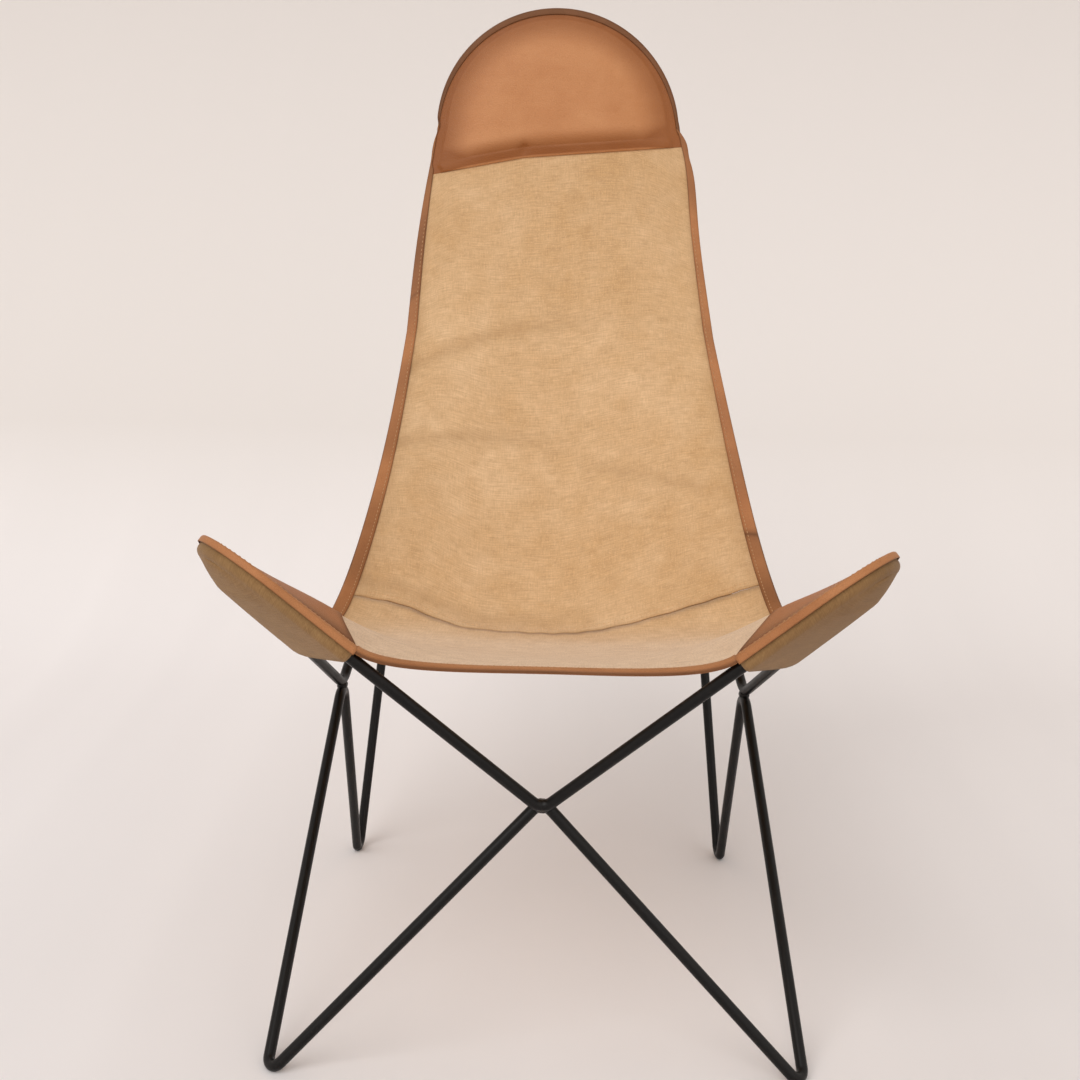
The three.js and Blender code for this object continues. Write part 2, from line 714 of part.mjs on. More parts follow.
// Horn patch: covers the sheet from the tip to the mouth of the pocket.
function hornPatch(side) {
  const rows = spread(patchStart, patchEnd, 12).map((reach) => {
    const u = 1 - reach * (1 - hornShare);
    const v = reach * pocketShare;
    const front = new THREE.Vector2(u, frontInset(u) + patchInset / 3);
    const rear = new THREE.Vector2(sideInset(v) - patchInset, v);
    return spread(0, 1, 10).map((t) => front.clone().lerp(rear, t).toArray());
  });
  const points = onSling(rows.map((line) => line.map(([u, v]) => [u * side, v])));
  const upright = side < 0 ? points.map((line) => line.reverse()) : points;
  return layer(upright, skin + patchGap, skin + patchGap + leather);
}

// Head patch: padded, with a level lower edge a little below the mouth of the head pocket.
function headPatch() {
  const levelAt = (p) => p.z - headPatchHeight;
  const lowerEdge = (u) => {
    let low = 0.6;
    let high = 1;
    for (let i = 0; i < 30; i++) {
      const mid = (low + high) / 2;
      if (levelAt(sling(u, mid)) < 0) low = mid;
      else high = mid;
    }
    return low;
  };
  const half = innerLines.map((u) => (u * headPatchReach) / rimLine);
  const columns = half.slice(1).map((u) => -u).reverse().concat(half);
  const rows = spread(0, 1, 9).map((t) => columns.map((u) => {
    const foot = lowerEdge(u);
    return sling(u, foot + (headInset(u) - patchInset / 3 - foot) * t);
  }));
  const middle = along(headMiddle, hoopUp, headLength - archRadius);
  const pad = (p) => headPad * (1 - Math.min(1, p.distanceTo(middle) / archRadius) ** 4);
  return layer(rows, skin + patchGap, (p) => skin + patchGap + leather + pad(p));
}

// Assembly

const finishes = {
  painted_steel: { color: 0x17181b, roughness: 0.42, metalness: 0.55 },
  weld_steel: { color: 0x1d1e21, roughness: 0.55, metalness: 0.55 },
  canvas: { color: 0xd2ab7c, roughness: 0.92, metalness: 0 },
  leather: { color: 0xbb7a4c, roughness: 0.5, metalness: 0 },
  binding: { color: 0xa8683f, roughness: 0.55, metalness: 0 },
};

const chair = new THREE.Group();
chair.name = 'sling_chair';
const frameGroup = new THREE.Group();
frameGroup.name = 'frame';
const slingGroup = new THREE.Group();
slingGroup.name = 'sling';
chair.add(frameGroup, slingGroup);

function add(group, name, finish, geometry) {
  geometry.computeVertexNormals();
  const material = new THREE.MeshStandardMaterial(finishes[finish]);
  material.name = finish;
  const mesh = new THREE.Mesh(geometry, material);
  mesh.name = name;
  group.add(mesh);
}

const sides = [['left', -1], ['right', 1]];
add(frameGroup, 'back_hoop', 'painted_steel', backHoop());
add(frameGroup, 'front_cross_weld', 'weld_steel', frontWeld());
for (const [word, side] of sides) {
  add(frameGroup, `${word}_front_leg`, 'painted_steel', frontLeg(side));
  add(frameGroup, `${word}_horn_rod`, 'painted_steel', hornRod(side));
  add(frameGroup, `${word}_side_weld`, 'weld_steel', sideWeld(side));
  add(frameGroup, `${word}_brace_weld`, 'weld_steel', braceWeld(side));
  add(slingGroup, `${word}_horn_pocket`, 'canvas', hornPocket(side));
  add(slingGroup, `${word}_horn_patch`, 'leather', hornPatch(side));
  add(slingGroup, `${word}_side_binding`, 'binding', sideBinding(side));
  add(slingGroup, `${word}_horn_binding`, 'binding', hornBinding(side));
}
add(slingGroup, 'head_patch', 'leather', headPatch());
add(slingGroup, 'seat_panel', 'canvas', seatPanel());
add(slingGroup, 'back_panel', 'canvas', backPanel());
add(slingGroup, 'seam_tape', 'canvas', seamTape());
add(slingGroup, 'head_pocket', 'canvas', headPocket());
add(slingGroup, 'front_binding', 'binding', frontBinding());
add(slingGroup, 'head_binding', 'binding', headBinding());

// Origin on the floor under the middle of the outline.
const box = new THREE.Box3().setFromObject(chair);
chair.position.set(0, -(box.min.y + box.max.y) / 2, 0);

export default chair;
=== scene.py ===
# Looks of the sling lounge chair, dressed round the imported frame.
# Layout sizes are in millimetres, with depth measured back from the line of the front feet.
# Meshes are made in metres in the row's own frame.
import json
import math

import bpy
import numpy as np
from mathutils import Matrix

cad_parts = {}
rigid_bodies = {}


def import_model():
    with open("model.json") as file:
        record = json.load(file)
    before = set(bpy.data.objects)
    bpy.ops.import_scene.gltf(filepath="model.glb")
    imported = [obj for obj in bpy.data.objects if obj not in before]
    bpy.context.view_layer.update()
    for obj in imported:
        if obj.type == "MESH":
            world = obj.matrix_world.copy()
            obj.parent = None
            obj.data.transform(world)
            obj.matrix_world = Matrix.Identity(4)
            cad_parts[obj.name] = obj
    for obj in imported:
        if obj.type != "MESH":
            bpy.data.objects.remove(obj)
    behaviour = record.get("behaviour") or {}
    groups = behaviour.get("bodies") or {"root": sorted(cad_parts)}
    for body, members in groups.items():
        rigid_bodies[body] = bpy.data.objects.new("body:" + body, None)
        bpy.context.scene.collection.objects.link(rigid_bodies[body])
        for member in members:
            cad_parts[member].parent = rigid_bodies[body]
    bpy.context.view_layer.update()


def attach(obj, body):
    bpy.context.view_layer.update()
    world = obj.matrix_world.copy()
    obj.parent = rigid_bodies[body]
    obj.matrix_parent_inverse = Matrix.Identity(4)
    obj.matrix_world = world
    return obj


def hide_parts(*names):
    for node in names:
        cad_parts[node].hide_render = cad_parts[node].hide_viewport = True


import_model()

# Sizes of the frame
MM = 0.001
FEET_LINE = -330.785
ROD = 12.0
GAP = 0.3
FRONT_FOOT_HALF_SPAN = 268.0
REAR_FOOT_HALF_SPAN = 246.0
BASE_DEPTH = 540.0
FOOT_FLAT = 0.6
CROSS_SETBACK = 24.0
CROSS_HEIGHT = 283.0
CROSS_TILT = math.radians(27.0)
SIDE_HALF_SPAN = 244.0
SIDE_SETBACK = 368.0
SIDE_HEIGHT = 291.0
HORN_HALF_SPAN = 296.0
HORN_REACH = 63.0
HORN_HEIGHT = 550.0
HOOP_LEAN = math.radians(10.3)
HOOP_TAPER = math.radians(5.6)
HOOP_HEIGHT = 1110.0
BRACE_HEIGHT = 470.0
FOOT_BEND = 12.0
CROSS_BEND = 13.0
SIDE_BEND = 24.0
HORN_BEND = 55.0
BAR_SIDES = 20
BEND_STEP = 0.07
LEAST_BEND_POINTS = 5
SETTLING_ROUNDS = 30

# Sizes of the sling
CANVAS = 1.6
LEATHER = 1.4
CLOTH_GAP = 0.4
EDGING_WIDTH = 15.0
HORN_EDGING_WIDTH = 11.0
HORN_WALL_COVER = 5.0
HEAD_RIM = 6.0
HEAD_WALL_COVER = 8.0
FRONT_POCKET_LENGTH = 92.0
REAR_POCKET_LENGTH = 261.0
HORN_POUCH_SAG = 13.0
HORN_POUCH_REAR = 182.0
HORN_PUFF = 3.5
HEAD_POUCH_SAG = 2.0
HEAD_POCKET_HEIGHT = 962.0
HEADREST_HEIGHT = 926.0
FRONT_EDGE_HEIGHT = 431.0
FRONT_EDGE_REACH = 3.0
FRONT_EDGE_RUN = 32.0
FRONT_EDGE_FLAT = 78.0
SIDE_EDGE_RUN = 121.0
SIDE_EDGE_DROP = 420.0
SIDE_EDGE_SPLAY = math.radians(2.9)
SIDE_EDGE_FLARE = 5.0
SEAT_SLOPE = math.radians(10.0)
SEAT_RUN = 122.0
DIP_SETBACK = 372.0
DIP_HEIGHT = 360.0
DIP_FLAT = 105.0
BACK_LEAN = math.radians(11.5)
BACK_RUN = 360.0
SEAM_SETBACK = 345.0
SEAM_END_ABOVE_POCKET = 78.0
SEAM_TAPE_HALF_WIDTH = 14.0
SEAM_TAPE_THICKNESS = 1.2
SIDEWAYS_HANG = 17.0
RIGHT_SLACK = 11.5

# Layout of the sling, as shares of its width and length
ARC_STEPS = 4
HORN_STEPS = 8
HORN_SHARE = 0.5
ARCH_SHARE = 0.75
POCKET_SHARE = 0.3
SEAM_SHARE = 0.42
SEAM_MIDDLE = 0.4345
SEAM_CLIMB = 0.056
SEAM_STEP = 0.026
HEAD_FADE_START = 0.55
FLARE_START = 0.78
HAIRLINE = 0.0005
HANG_RISE = (0.26, 0.44)
HANG_FALL = (0.6, 1.08)
SLACK_START = 0.8
SEAM_ROUNDING = 0.01
SEAM_TAPE_REACH = 0.82
CURVE_POINTS = 400
NORMAL_STEP = 0.01
SIDES = (("left", -1), ("right", 1))


def vec(x, y, z):
    return np.array((x, y, z), float)


def unit(v):
    return v / np.linalg.norm(v, axis=-1, keepdims=True)


def mirrored(p):
    return np.asarray(p) * (-1.0, 1.0, 1.0)


def smooth(low, high, x):
    t = np.clip((np.asarray(x, float) - low) / (high - low), 0, 1)
    return t * t * (3 - 2 * t)


def lerp(a, b, t):
    return a + (b - a) * t


def hump(centre, width, x):
    return np.exp(-(((np.asarray(x, float) - centre) / width) ** 2))


# Bent bar

ROD_RADIUS = ROD / 2
STACK = ROD + 2 * GAP
FOOT_HEIGHT = ROD_RADIUS - FOOT_FLAT
HOOP_UP = vec(0, math.sin(HOOP_LEAN), math.cos(HOOP_LEAN))
HOOP_FRONT = vec(0, -math.cos(HOOP_LEAN), math.sin(HOOP_LEAN))


def bend(crown, radius):
    return {"crown": crown, "place": crown.copy(), "radius": radius}


def fixed(place, radius=0.0):
    return {"crown": None, "place": place, "radius": radius}


def settle_corners(corners):
    """Moves each corner out until the middle of its bend passes through its crown point."""
    for _ in range(SETTLING_ROUNDS):
        for before, c, after in zip(corners, corners[1:], corners[2:]):
            if c["crown"] is None:
                continue
            a = unit(before["place"] - c["place"])
            b = unit(after["place"] - c["place"])
            half = math.acos(a @ b) / 2
            c["place"] = c["crown"] - unit(a + b) * c["radius"] * (1 / math.sin(half) - 1)
    return corners


def bend_points(before, c, after, start, stop):
    """Points on the round bend at one corner, between two shares of its sweep."""
    p = c["place"]
    a = unit(before["place"] - p)
    b = unit(after["place"] - p)
    half = math.acos(a @ b) / 2
    centre = p + unit(a + b) * c["radius"] / math.sin(half)
    spoke = p + a * c["radius"] / math.tan(half) - centre
    axis = unit(np.cross(-a, b))
    sweep = math.pi - 2 * half
    count = max(LEAST_BEND_POINTS, int(sweep * (stop - start) / BEND_STEP))
    turn = (np.linspace(start, stop, count) * sweep)[:, None]
    return centre + spoke * np.cos(turn) + np.cross(axis, spoke) * np.sin(turn)


def bar_line(corners, first, last):
    """The bar's line from the middle of one bend to the middle of another, or to a fixed end."""
    runs = []
    for i in range(first, last + 1):
        c = corners[i]
        if c["radius"] == 0:
            runs.append(c["place"][None])
            continue
        start = 0.5 if i == first else 0.0
        stop = 0.5 if i == last else 1.0
        runs.append(bend_points(corners[i - 1], c, corners[i + 1], start, stop))
    return np.concatenate(runs)


cross_lap = vec(0, math.cos(CROSS_TILT), -math.sin(CROSS_TILT)) * STACK / 2
cross_middle = vec(0, CROSS_SETBACK, CROSS_HEIGHT)
side_middle = vec(SIDE_HALF_SPAN, SIDE_SETBACK, SIDE_HEIGHT)
hoop_slope = REAR_FOOT_HALF_SPAN / math.tan(HOOP_TAPER)
hoop_crown = HOOP_HEIGHT / math.cos(HOOP_LEAN)
ARCH_RADIUS = (hoop_slope - hoop_crown) * math.sin(HOOP_TAPER) / (1 - math.sin(HOOP_TAPER))
hoop_root = vec(0, BASE_DEPTH, FOOT_HEIGHT)
hoop_apex = hoop_root + HOOP_UP * hoop_slope

foot_front = vec(FRONT_FOOT_HALF_SPAN, 0, FOOT_HEIGHT)
foot_rear = vec(REAR_FOOT_HALF_SPAN, BASE_DEPTH, FOOT_HEIGHT)
leg_apex = side_middle - (0, 0, STACK / 2)
lower = settle_corners([
    fixed(hoop_apex, ARCH_RADIUS),
    bend(mirrored(foot_rear), FOOT_BEND),
    bend(mirrored(leg_apex), SIDE_BEND),
    bend(mirrored(foot_front), FOOT_BEND),
    bend(cross_middle + cross_lap, CROSS_BEND),
    bend(foot_front, FOOT_BEND),
    bend(leg_apex, SIDE_BEND),
    bend(foot_rear, FOOT_BEND),
    fixed(hoop_apex, ARCH_RADIUS),
])
rear_corner = lower[7]["place"]
brace_share = (BRACE_HEIGHT - rear_corner[2]) / (hoop_apex[2] - rear_corner[2])
brace_foot = rear_corner + (hoop_apex - rear_corner) * brace_share
side_valley = side_middle + (0, 0, STACK / 2)
horn_tip = vec(HORN_HALF_SPAN, -HORN_REACH, HORN_HEIGHT)
brace_contact = brace_foot + unit(side_valley - brace_foot) * ROD_RADIUS
upper = settle_corners([
    fixed(mirrored(brace_contact)),
    bend(mirrored(side_valley), SIDE_BEND),
    bend(mirrored(horn_tip), HORN_BEND),
    bend(cross_middle - cross_lap, CROSS_BEND),
    bend(horn_tip, HORN_BEND),
    bend(side_valley, SIDE_BEND),
    fixed(brace_contact),
])
hoop_loop = [lower[5], lower[6], lower[7], fixed(hoop_apex, ARCH_RADIUS), lower[1], lower[2], lower[3]]


# Sling surface

WALL = ROD_RADIUS + CLOTH_GAP + CANVAS
OVERHANG = WALL + CANVAS / 2
LIFT = ROD_RADIUS + CLOTH_GAP + CANVAS / 2


class RodLine:
    """The rod round a horn or the head, stepped from the middle of its bend out along both arms."""

    def __init__(self, corner, arm_a, arm_b, radius, face_hint):
        self.arms = {1: unit(arm_a - corner), -1: unit(arm_b - corner)}
        half = math.acos(self.arms[1] @ self.arms[-1]) / 2
        self.inward = unit(self.arms[1] + self.arms[-1])
        self.face = unit(np.cross(self.arms[1], self.arms[-1]))
        if self.face @ face_hint < 0:
            self.face = -self.face
        self.centre = corner + self.inward * radius / math.sin(half)
        self.across = unit(self.arms[1] - self.arms[-1])
        self.radius = radius
        self.swing = math.pi / 2 - half

    def at(self, arm, step, length):
        step = np.asarray(step, float)
        turn = (self.swing * np.minimum(1, step / ARC_STEPS))[..., None]
        outward = -np.cos(turn) * self.inward + arm * np.sin(turn) * self.across
        run = np.maximum(0, (step - ARC_STEPS) / (HORN_STEPS - ARC_STEPS)) * length
        return self.centre + outward * self.radius + run[..., None] * self.arms[arm], outward

    def sheet_edge(self, arm, step, length):
        p, outward = self.at(arm, step, length)
        return p + outward * OVERHANG + self.face * LIFT


class Curve:
    """A cubic curve walked by its length."""

    def __init__(self, a, b, c, d):
        t = np.linspace(0, 1, CURVE_POINTS)[:, None]
        self.points = (1 - t) ** 3 * a + 3 * (1 - t) ** 2 * t * b + 3 * (1 - t) * t**2 * c + t**3 * d
        steps = np.linalg.norm(np.diff(self.points, axis=0), axis=1)
        self.walked = np.concatenate([[0], np.cumsum(steps)])
        self.length = self.walked[-1]

    def at(self, share):
        s = np.clip(np.asarray(share, float), 0, 1) * self.length
        return np.stack([np.interp(s, self.walked, self.points[:, k]) for k in range(3)], -1)


horn = RodLine(upper[4]["place"], upper[3]["place"], upper[5]["place"], HORN_BEND, vec(0, 0, 1))
head = RodLine(hoop_apex, rear_corner, mirrored(rear_corner), ARCH_RADIUS, HOOP_FRONT)
head_tangent, _ = head.at(1, ARC_STEPS, 0)
HEAD_POCKET_LENGTH = (head_tangent[2] - HEAD_POCKET_HEIGHT) / math.cos(HOOP_LEAN) / math.cos(HOOP_TAPER)

front_centre = vec(0, -FRONT_EDGE_REACH, FRONT_EDGE_HEIGHT)
dip = vec(0, DIP_SETBACK, DIP_HEIGHT)
head_up = (HEAD_POCKET_HEIGHT - FOOT_HEIGHT) / math.cos(HOOP_LEAN)
head_middle = hoop_root + HOOP_UP * head_up + HOOP_FRONT * LIFT
crown_edge = head.sheet_edge(1, 0, 0)

front_leave = horn.sheet_edge(1, HORN_STEPS, FRONT_POCKET_LENGTH)
front_run = unit(front_leave - horn.sheet_edge(1, ARC_STEPS, FRONT_POCKET_LENGTH))
front_curve = Curve(front_leave, front_leave + front_run * FRONT_EDGE_RUN,
                    front_centre + vec(FRONT_EDGE_FLAT, 0, 0), front_centre)
rear_leave = horn.sheet_edge(-1, HORN_STEPS, REAR_POCKET_LENGTH)
rear_run = unit(rear_leave - horn.sheet_edge(-1, ARC_STEPS, REAR_POCKET_LENGTH))
head_leave = head.sheet_edge(1, HORN_STEPS, HEAD_POCKET_LENGTH)
head_run = unit(head_leave - head.sheet_edge(1, ARC_STEPS, HEAD_POCKET_LENGTH))
side_fall = (head_run * math.cos(SIDE_EDGE_SPLAY)
             + np.cross(head.face, head_run) * math.sin(SIDE_EDGE_SPLAY))
side_curve = Curve(rear_leave, rear_leave + rear_run * SIDE_EDGE_RUN,
                   head_leave + side_fall * SIDE_EDGE_DROP, head_leave)
seat_fall = vec(0, math.cos(SEAT_SLOPE), -math.sin(SEAT_SLOPE))
seat_curve = Curve(front_centre, front_centre + seat_fall * SEAT_RUN, dip - vec(0, DIP_FLAT, 0), dip)
back_fall = vec(0, -math.sin(BACK_LEAN), -math.cos(BACK_LEAN))
back_curve = Curve(dip, dip + vec(0, DIP_FLAT, 0), head_middle + back_fall * BACK_RUN, head_middle)
head_length = np.linalg.norm(crown_edge - head_middle)
seam_on_side = SEAM_END_ABOVE_POCKET / side_curve.length
seam_along = seat_curve.length - (DIP_SETBACK - SEAM_SETBACK)
centre_length = seat_curve.length + back_curve.length + head_length


def pick(conditions, choices):
    return np.select([np.asarray(c)[..., None] for c in conditions], choices)


def front_step(u):
    return (1 - np.abs(u)) / (1 - HORN_SHARE) * HORN_STEPS


def rear_step(v):
    return np.asarray(v) / POCKET_SHARE * HORN_STEPS


def arch_step(u):
    a = np.abs(u)
    past = ARC_STEPS + (HORN_STEPS - ARC_STEPS) * (a - ARCH_SHARE) / (1 - ARCH_SHARE)
    return np.where(a < ARCH_SHARE, ARC_STEPS * a / ARCH_SHARE, past)


def sided(p, u):
    return p * np.stack([np.where(u < 0, -1.0, 1.0), np.ones_like(u), np.ones_like(u)], -1)


def front_edge(u):
    a = np.abs(u)
    on_horn = horn.sheet_edge(1, front_step(u), FRONT_POCKET_LENGTH)
    free = front_curve.at(1 - a / HORN_SHARE)
    return sided(pick([a >= HORN_SHARE, a < HORN_SHARE], [on_horn, free]), u)


def arch_edge(u):
    return sided(head.sheet_edge(1, arch_step(u), HEAD_POCKET_LENGTH), u)


def side_edge(v):
    on_horn = horn.sheet_edge(-1, rear_step(v), REAR_POCKET_LENGTH)
    low = side_curve.at(seam_on_side * (v - POCKET_SHARE) / (SEAM_SHARE - POCKET_SHARE))
    high = side_curve.at(seam_on_side + (1 - seam_on_side) * (v - SEAM_SHARE) / (1 - SEAM_SHARE))
    edge = pick([v <= POCKET_SHARE, v <= SEAM_SHARE, v > SEAM_SHARE], [on_horn, low, high])
    bow = np.sin(math.pi * np.maximum(0, (v - FLARE_START) / (1 - FLARE_START)))
    return edge + vec(SIDE_EDGE_FLARE, 0, 0) * bow[..., None]


def centre_at(s):
    seat, back = seat_curve.length, back_curve.length
    on_head = head_middle + (crown_edge - head_middle) * ((s - seat - back) / head_length)[..., None]
    return pick([s <= seat, s <= seat + back, s > seat + back],
                [seat_curve.at(s / seat), back_curve.at((s - seat) / back), on_head])


def centre_line(v):
    past = seam_along + (centre_length - seam_along) * (v - SEAM_SHARE) / (1 - SEAM_SHARE)
    return centre_at(np.where(v <= SEAM_SHARE, seam_along * v / SEAM_SHARE, past))


def rib(u, edge, centre):
    w = (u * u)[..., None]
    p = centre * (1 - w) + edge * w
    p[..., 0] = edge[..., 0] * u
    return p


def sling(u, v):
    """A point of the sling: u from side to side, v from the front edge to the head."""
    u, v = np.broadcast_arrays(np.asarray(u, float), np.asarray(v, float))
    zero, one = np.zeros_like(v), np.ones_like(v)
    front = front_edge(u) - rib(u, side_edge(zero), centre_line(zero))
    arch = arch_edge(u) - rib(u, side_edge(one), centre_line(one))
    front_fade = np.maximum(0, 1 - v / SEAM_SHARE) ** 2
    arch_fade = np.maximum(0, (v - HEAD_FADE_START) / (1 - HEAD_FADE_START)) ** 3
    p = rib(u, side_edge(v), centre_line(v))
    p = p + front * front_fade[..., None] + arch * arch_fade[..., None]
    p[..., 0] += sideways_hang(v) + right_slack(u, v)
    return p


def sideways_hang(v):
    """The sling hangs a little to one side between the horns and the head."""
    return SIDEWAYS_HANG * smooth(*HANG_RISE, v) * (1 - smooth(*HANG_FALL, v))


def right_slack(u, v):
    """The right edge stands out a little where it leaves the head."""
    climbed = np.clip((v - SLACK_START) / (1 - SLACK_START), 0, 1)
    return RIGHT_SLACK * np.clip(u, 0, 1) ** 3 * np.sin(math.pi * climbed**3.2)


def seam(u):
    """Where the seam of seat and back lies: it climbs evenly to the right, and in one step on the left."""
    climb = (u + np.sqrt(u**2 + SEAM_ROUNDING)) / 2
    return SEAM_MIDDLE + SEAM_CLIMB * climb + SEAM_STEP * smooth(-0.35, -0.8, u)


def sling_normal(u, v):
    """The sheet's upper side, taken a little inside the rim."""
    u, v = np.broadcast_arrays(np.clip(u, -0.98, 0.98), np.clip(v, 0.015, 0.985))
    across = sling(u + NORMAL_STEP, v) - sling(u - NORMAL_STEP, v)
    lengthwise = sling(u, v + NORMAL_STEP) - sling(u, v - NORMAL_STEP)
    return unit(np.cross(across, lengthwise))


def closed_in(is_short, low, high, rounds):
    """Halves a span of shares until it closes on the place where is_short ends."""
    for _ in range(rounds):
        mid = (low + high) / 2
        short = is_short(mid)
        low, high = np.where(short, mid, low), np.where(short, high, mid)
    return low


def share_inside(point_at, width):
    """How far in from a rim, as a share, a line lies that keeps the given distance from it."""
    rim = point_at(0.0)
    low, high = np.zeros(rim.shape[:-1]), np.full(rim.shape[:-1], 0.2)
    return closed_in(lambda t: np.linalg.norm(point_at(t) - rim, axis=-1) < width, low, high, 30)


def side_inset(v, width=EDGING_WIDTH):
    return 1 - share_inside(lambda t: sling(1 - t + 0 * v, v), width)


def front_inset(u, width=EDGING_WIDTH):
    return share_inside(lambda t: sling(u, t + 0 * u), width)


def head_inset(u, width=HEAD_RIM):
    return 1 - share_inside(lambda t: sling(u, 1 - t + 0 * u), width)


# Meshes

def to_row(points):
    return (np.asarray(points, float) + (0, FEET_LINE, 0)) * MM


def joined_round(values):
    """Repeats the first column after the last, to close a ring."""
    values = np.asarray(values, float)
    return np.concatenate([values, values[:, :1]], axis=1)


class Grid:
    """Rows of points joined into faces, with coinciding points made one."""

    def __init__(self, rows, closed=False):
        rows = joined_round(rows) if closed else np.asarray(rows, float)
        flat = rows.reshape(-1, 3)
        _, keep, ids = np.unique(np.round(flat, 3), axis=0, return_index=True, return_inverse=True)
        self.keep = keep
        self.points = flat[keep]
        ids = ids.reshape(rows.shape[:2])
        self.ids = ids
        cells = np.stack([ids[:-1, :-1], ids[:-1, 1:], ids[1:, 1:], ids[1:, :-1]], -1).reshape(-1, 4)
        self.faces = []
        for cell in cells.tolist():
            face = list(dict.fromkeys(cell))
            if len(face) > 2:
                self.faces.append(face)

    def kept(self, values):
        values = np.asarray(values, float)
        flat = values.reshape(-1, values.shape[-1]) if values.ndim == 3 else values.reshape(-1)
        return flat[self.keep]

    def normals(self):
        out = np.zeros_like(self.points)
        for size in (3, 4):
            part = np.array([f for f in self.faces if len(f) == size])
            if len(part) == 0:
                continue
            a, b = self.points[part[:, 0]], self.points[part[:, 2]]
            c, d = self.points[part[:, 1]], self.points[part[:, -1]]
            n = np.cross(b - a, d - c) if size == 4 else np.cross(c - a, b - a)
            for k in range(size):
                np.add.at(out, part[:, k], n)
        return unit(out + 1e-12)


def object_from(name, points, faces, finish, uv=None, marks=None):
    """A smooth-shaded mesh piece in the row's frame that rides on the chair."""
    mesh = bpy.data.meshes.new(name)
    mesh.from_pydata(to_row(points).tolist(), [], [list(f) for f in faces])
    mesh.validate()
    mesh.polygons.foreach_set("use_smooth", np.ones(len(mesh.polygons), bool))
    corner = np.zeros(len(mesh.loops), np.int32)
    mesh.loops.foreach_get("vertex_index", corner)
    if uv is not None:
        layer = mesh.uv_layers.new(name="cut")
        layer.data.foreach_set("uv", np.asarray(uv, np.float32)[corner].ravel())
    for mark, values in (marks or {}).items():
        attribute = mesh.attributes.new(mark, "FLOAT", "POINT")
        attribute.data.foreach_set("value", np.asarray(values, np.float32))
    mesh.materials.append(finish)
    piece = bpy.data.objects.new(name, mesh)
    bpy.context.scene.collection.objects.link(piece)
    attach(piece, "root")
    return piece


def stands_for(piece, node):
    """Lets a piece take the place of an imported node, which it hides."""
    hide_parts(node)
    return piece


def doubled(values):
    return np.concatenate([values, values])


def sheet_piece(name, rows, low, high, finish, uv, marks):
    """A closed layer of cloth or leather between two offsets from a grid of points."""
    grid = Grid(rows)
    n = len(grid.points)
    normals = grid.normals()
    low = grid.kept(np.broadcast_to(low, grid.ids.shape))[:, None]
    high = grid.kept(np.broadcast_to(high, grid.ids.shape))[:, None]
    points = np.concatenate([grid.points + normals * high, grid.points + normals * low])
    faces = list(grid.faces)
    edges = set()
    for face in grid.faces:
        faces.append([i + n for i in reversed(face)])
        edges.update(zip(face, face[1:] + face[:1]))
    for a, b in sorted(edges):
        if (b, a) not in edges:
            faces.append([b, a, a + n, b + n])
    return object_from(name, points, faces, finish, doubled(grid.kept(uv)),
                       {k: doubled(grid.kept(m)) for k, m in marks.items()})


def strip_piece(name, rings, finish, uv=None, marks=None):
    """A strip swept from closed rings of equal length, capped at both ends."""
    grid = Grid(rings, closed=True)
    faces = list(grid.faces)
    for ring, turned in ((grid.ids[0], True), (grid.ids[-1], False)):
        cap = list(dict.fromkeys(ring.tolist()))
        if len(cap) > 2:
            faces.append(cap[::-1] if turned else cap)
    if uv is not None:
        uv = grid.kept(joined_round(uv))
    marks = {k: grid.kept(joined_round(m)) for k, m in (marks or {}).items()}
    return object_from(name, grid.points, faces, finish, uv, marks)


def walked_length(points):
    steps = np.linalg.norm(np.diff(points, axis=0), axis=-1)
    return np.concatenate([np.zeros((1,) + steps.shape[1:]), np.cumsum(steps, axis=0)])


def cut_uv(rows):
    """Flat coordinates of a grid in metres: across each row from its middle, and along the columns."""
    rows = np.asarray(rows, float)
    across = walked_length(np.swapaxes(rows, 0, 1)).T
    across = across - across[:, across.shape[1] // 2][:, None]
    lengthwise = walked_length(rows)
    middle = lengthwise[:, lengthwise.shape[1] // 2][:, None]
    return np.stack([across, 0.5 * lengthwise + 0.5 * middle], -1) * MM


# Finishes

class Value:
    """One output of a finish's nodes, for sums written as plain expressions."""

    def __init__(self, finish, socket):
        self.finish = finish
        self.socket = socket

    def maths(self, operation, *terms):
        return self.finish.node("ShaderNodeMath", {"operation": operation}, dict(enumerate(terms)))

    def __add__(self, other):
        return self.maths("ADD", self, other)

    def __radd__(self, other):
        return self.maths("ADD", other, self)

    def __sub__(self, other):
        return self.maths("SUBTRACT", self, other)

    def __rsub__(self, other):
        return self.maths("SUBTRACT", other, self)

    def __mul__(self, other):
        return self.maths("MULTIPLY", self, other)

    def __rmul__(self, other):
        return self.maths("MULTIPLY", other, self)

    def sine(self):
        return self.maths("SINE", self)

    def least(self, other):
        return self.maths("MINIMUM", self, other)

    def most(self, other):
        return self.maths("MAXIMUM", self, other)


class Nodes:
    """A tree of shader nodes, emptied to be filled by hand."""

    def __init__(self, tree):
        self.tree = tree
        self.tree.nodes.clear()

    def node(self, kind, settings=None, inputs=None, output=0):
        made = self.tree.nodes.new(kind)
        for key, setting in (settings or {}).items():
            if key == "stops":
                self.set_stops(made.color_ramp.elements, setting)
            else:
                setattr(made, key, setting)
        for key, value in (inputs or {}).items():
            if isinstance(value, Value):
                self.tree.links.new(value.socket, made.inputs[key])
            else:
                made.inputs[key].default_value = value
        return Value(self, made.outputs[output]) if made.outputs else None

    @staticmethod
    def set_stops(elements, stops):
        while len(elements) < len(stops):
            elements.new(1.0)
        for element, (place, level) in zip(elements, stops):
            element.position = place
            element.color = (level, level, level, 1.0)


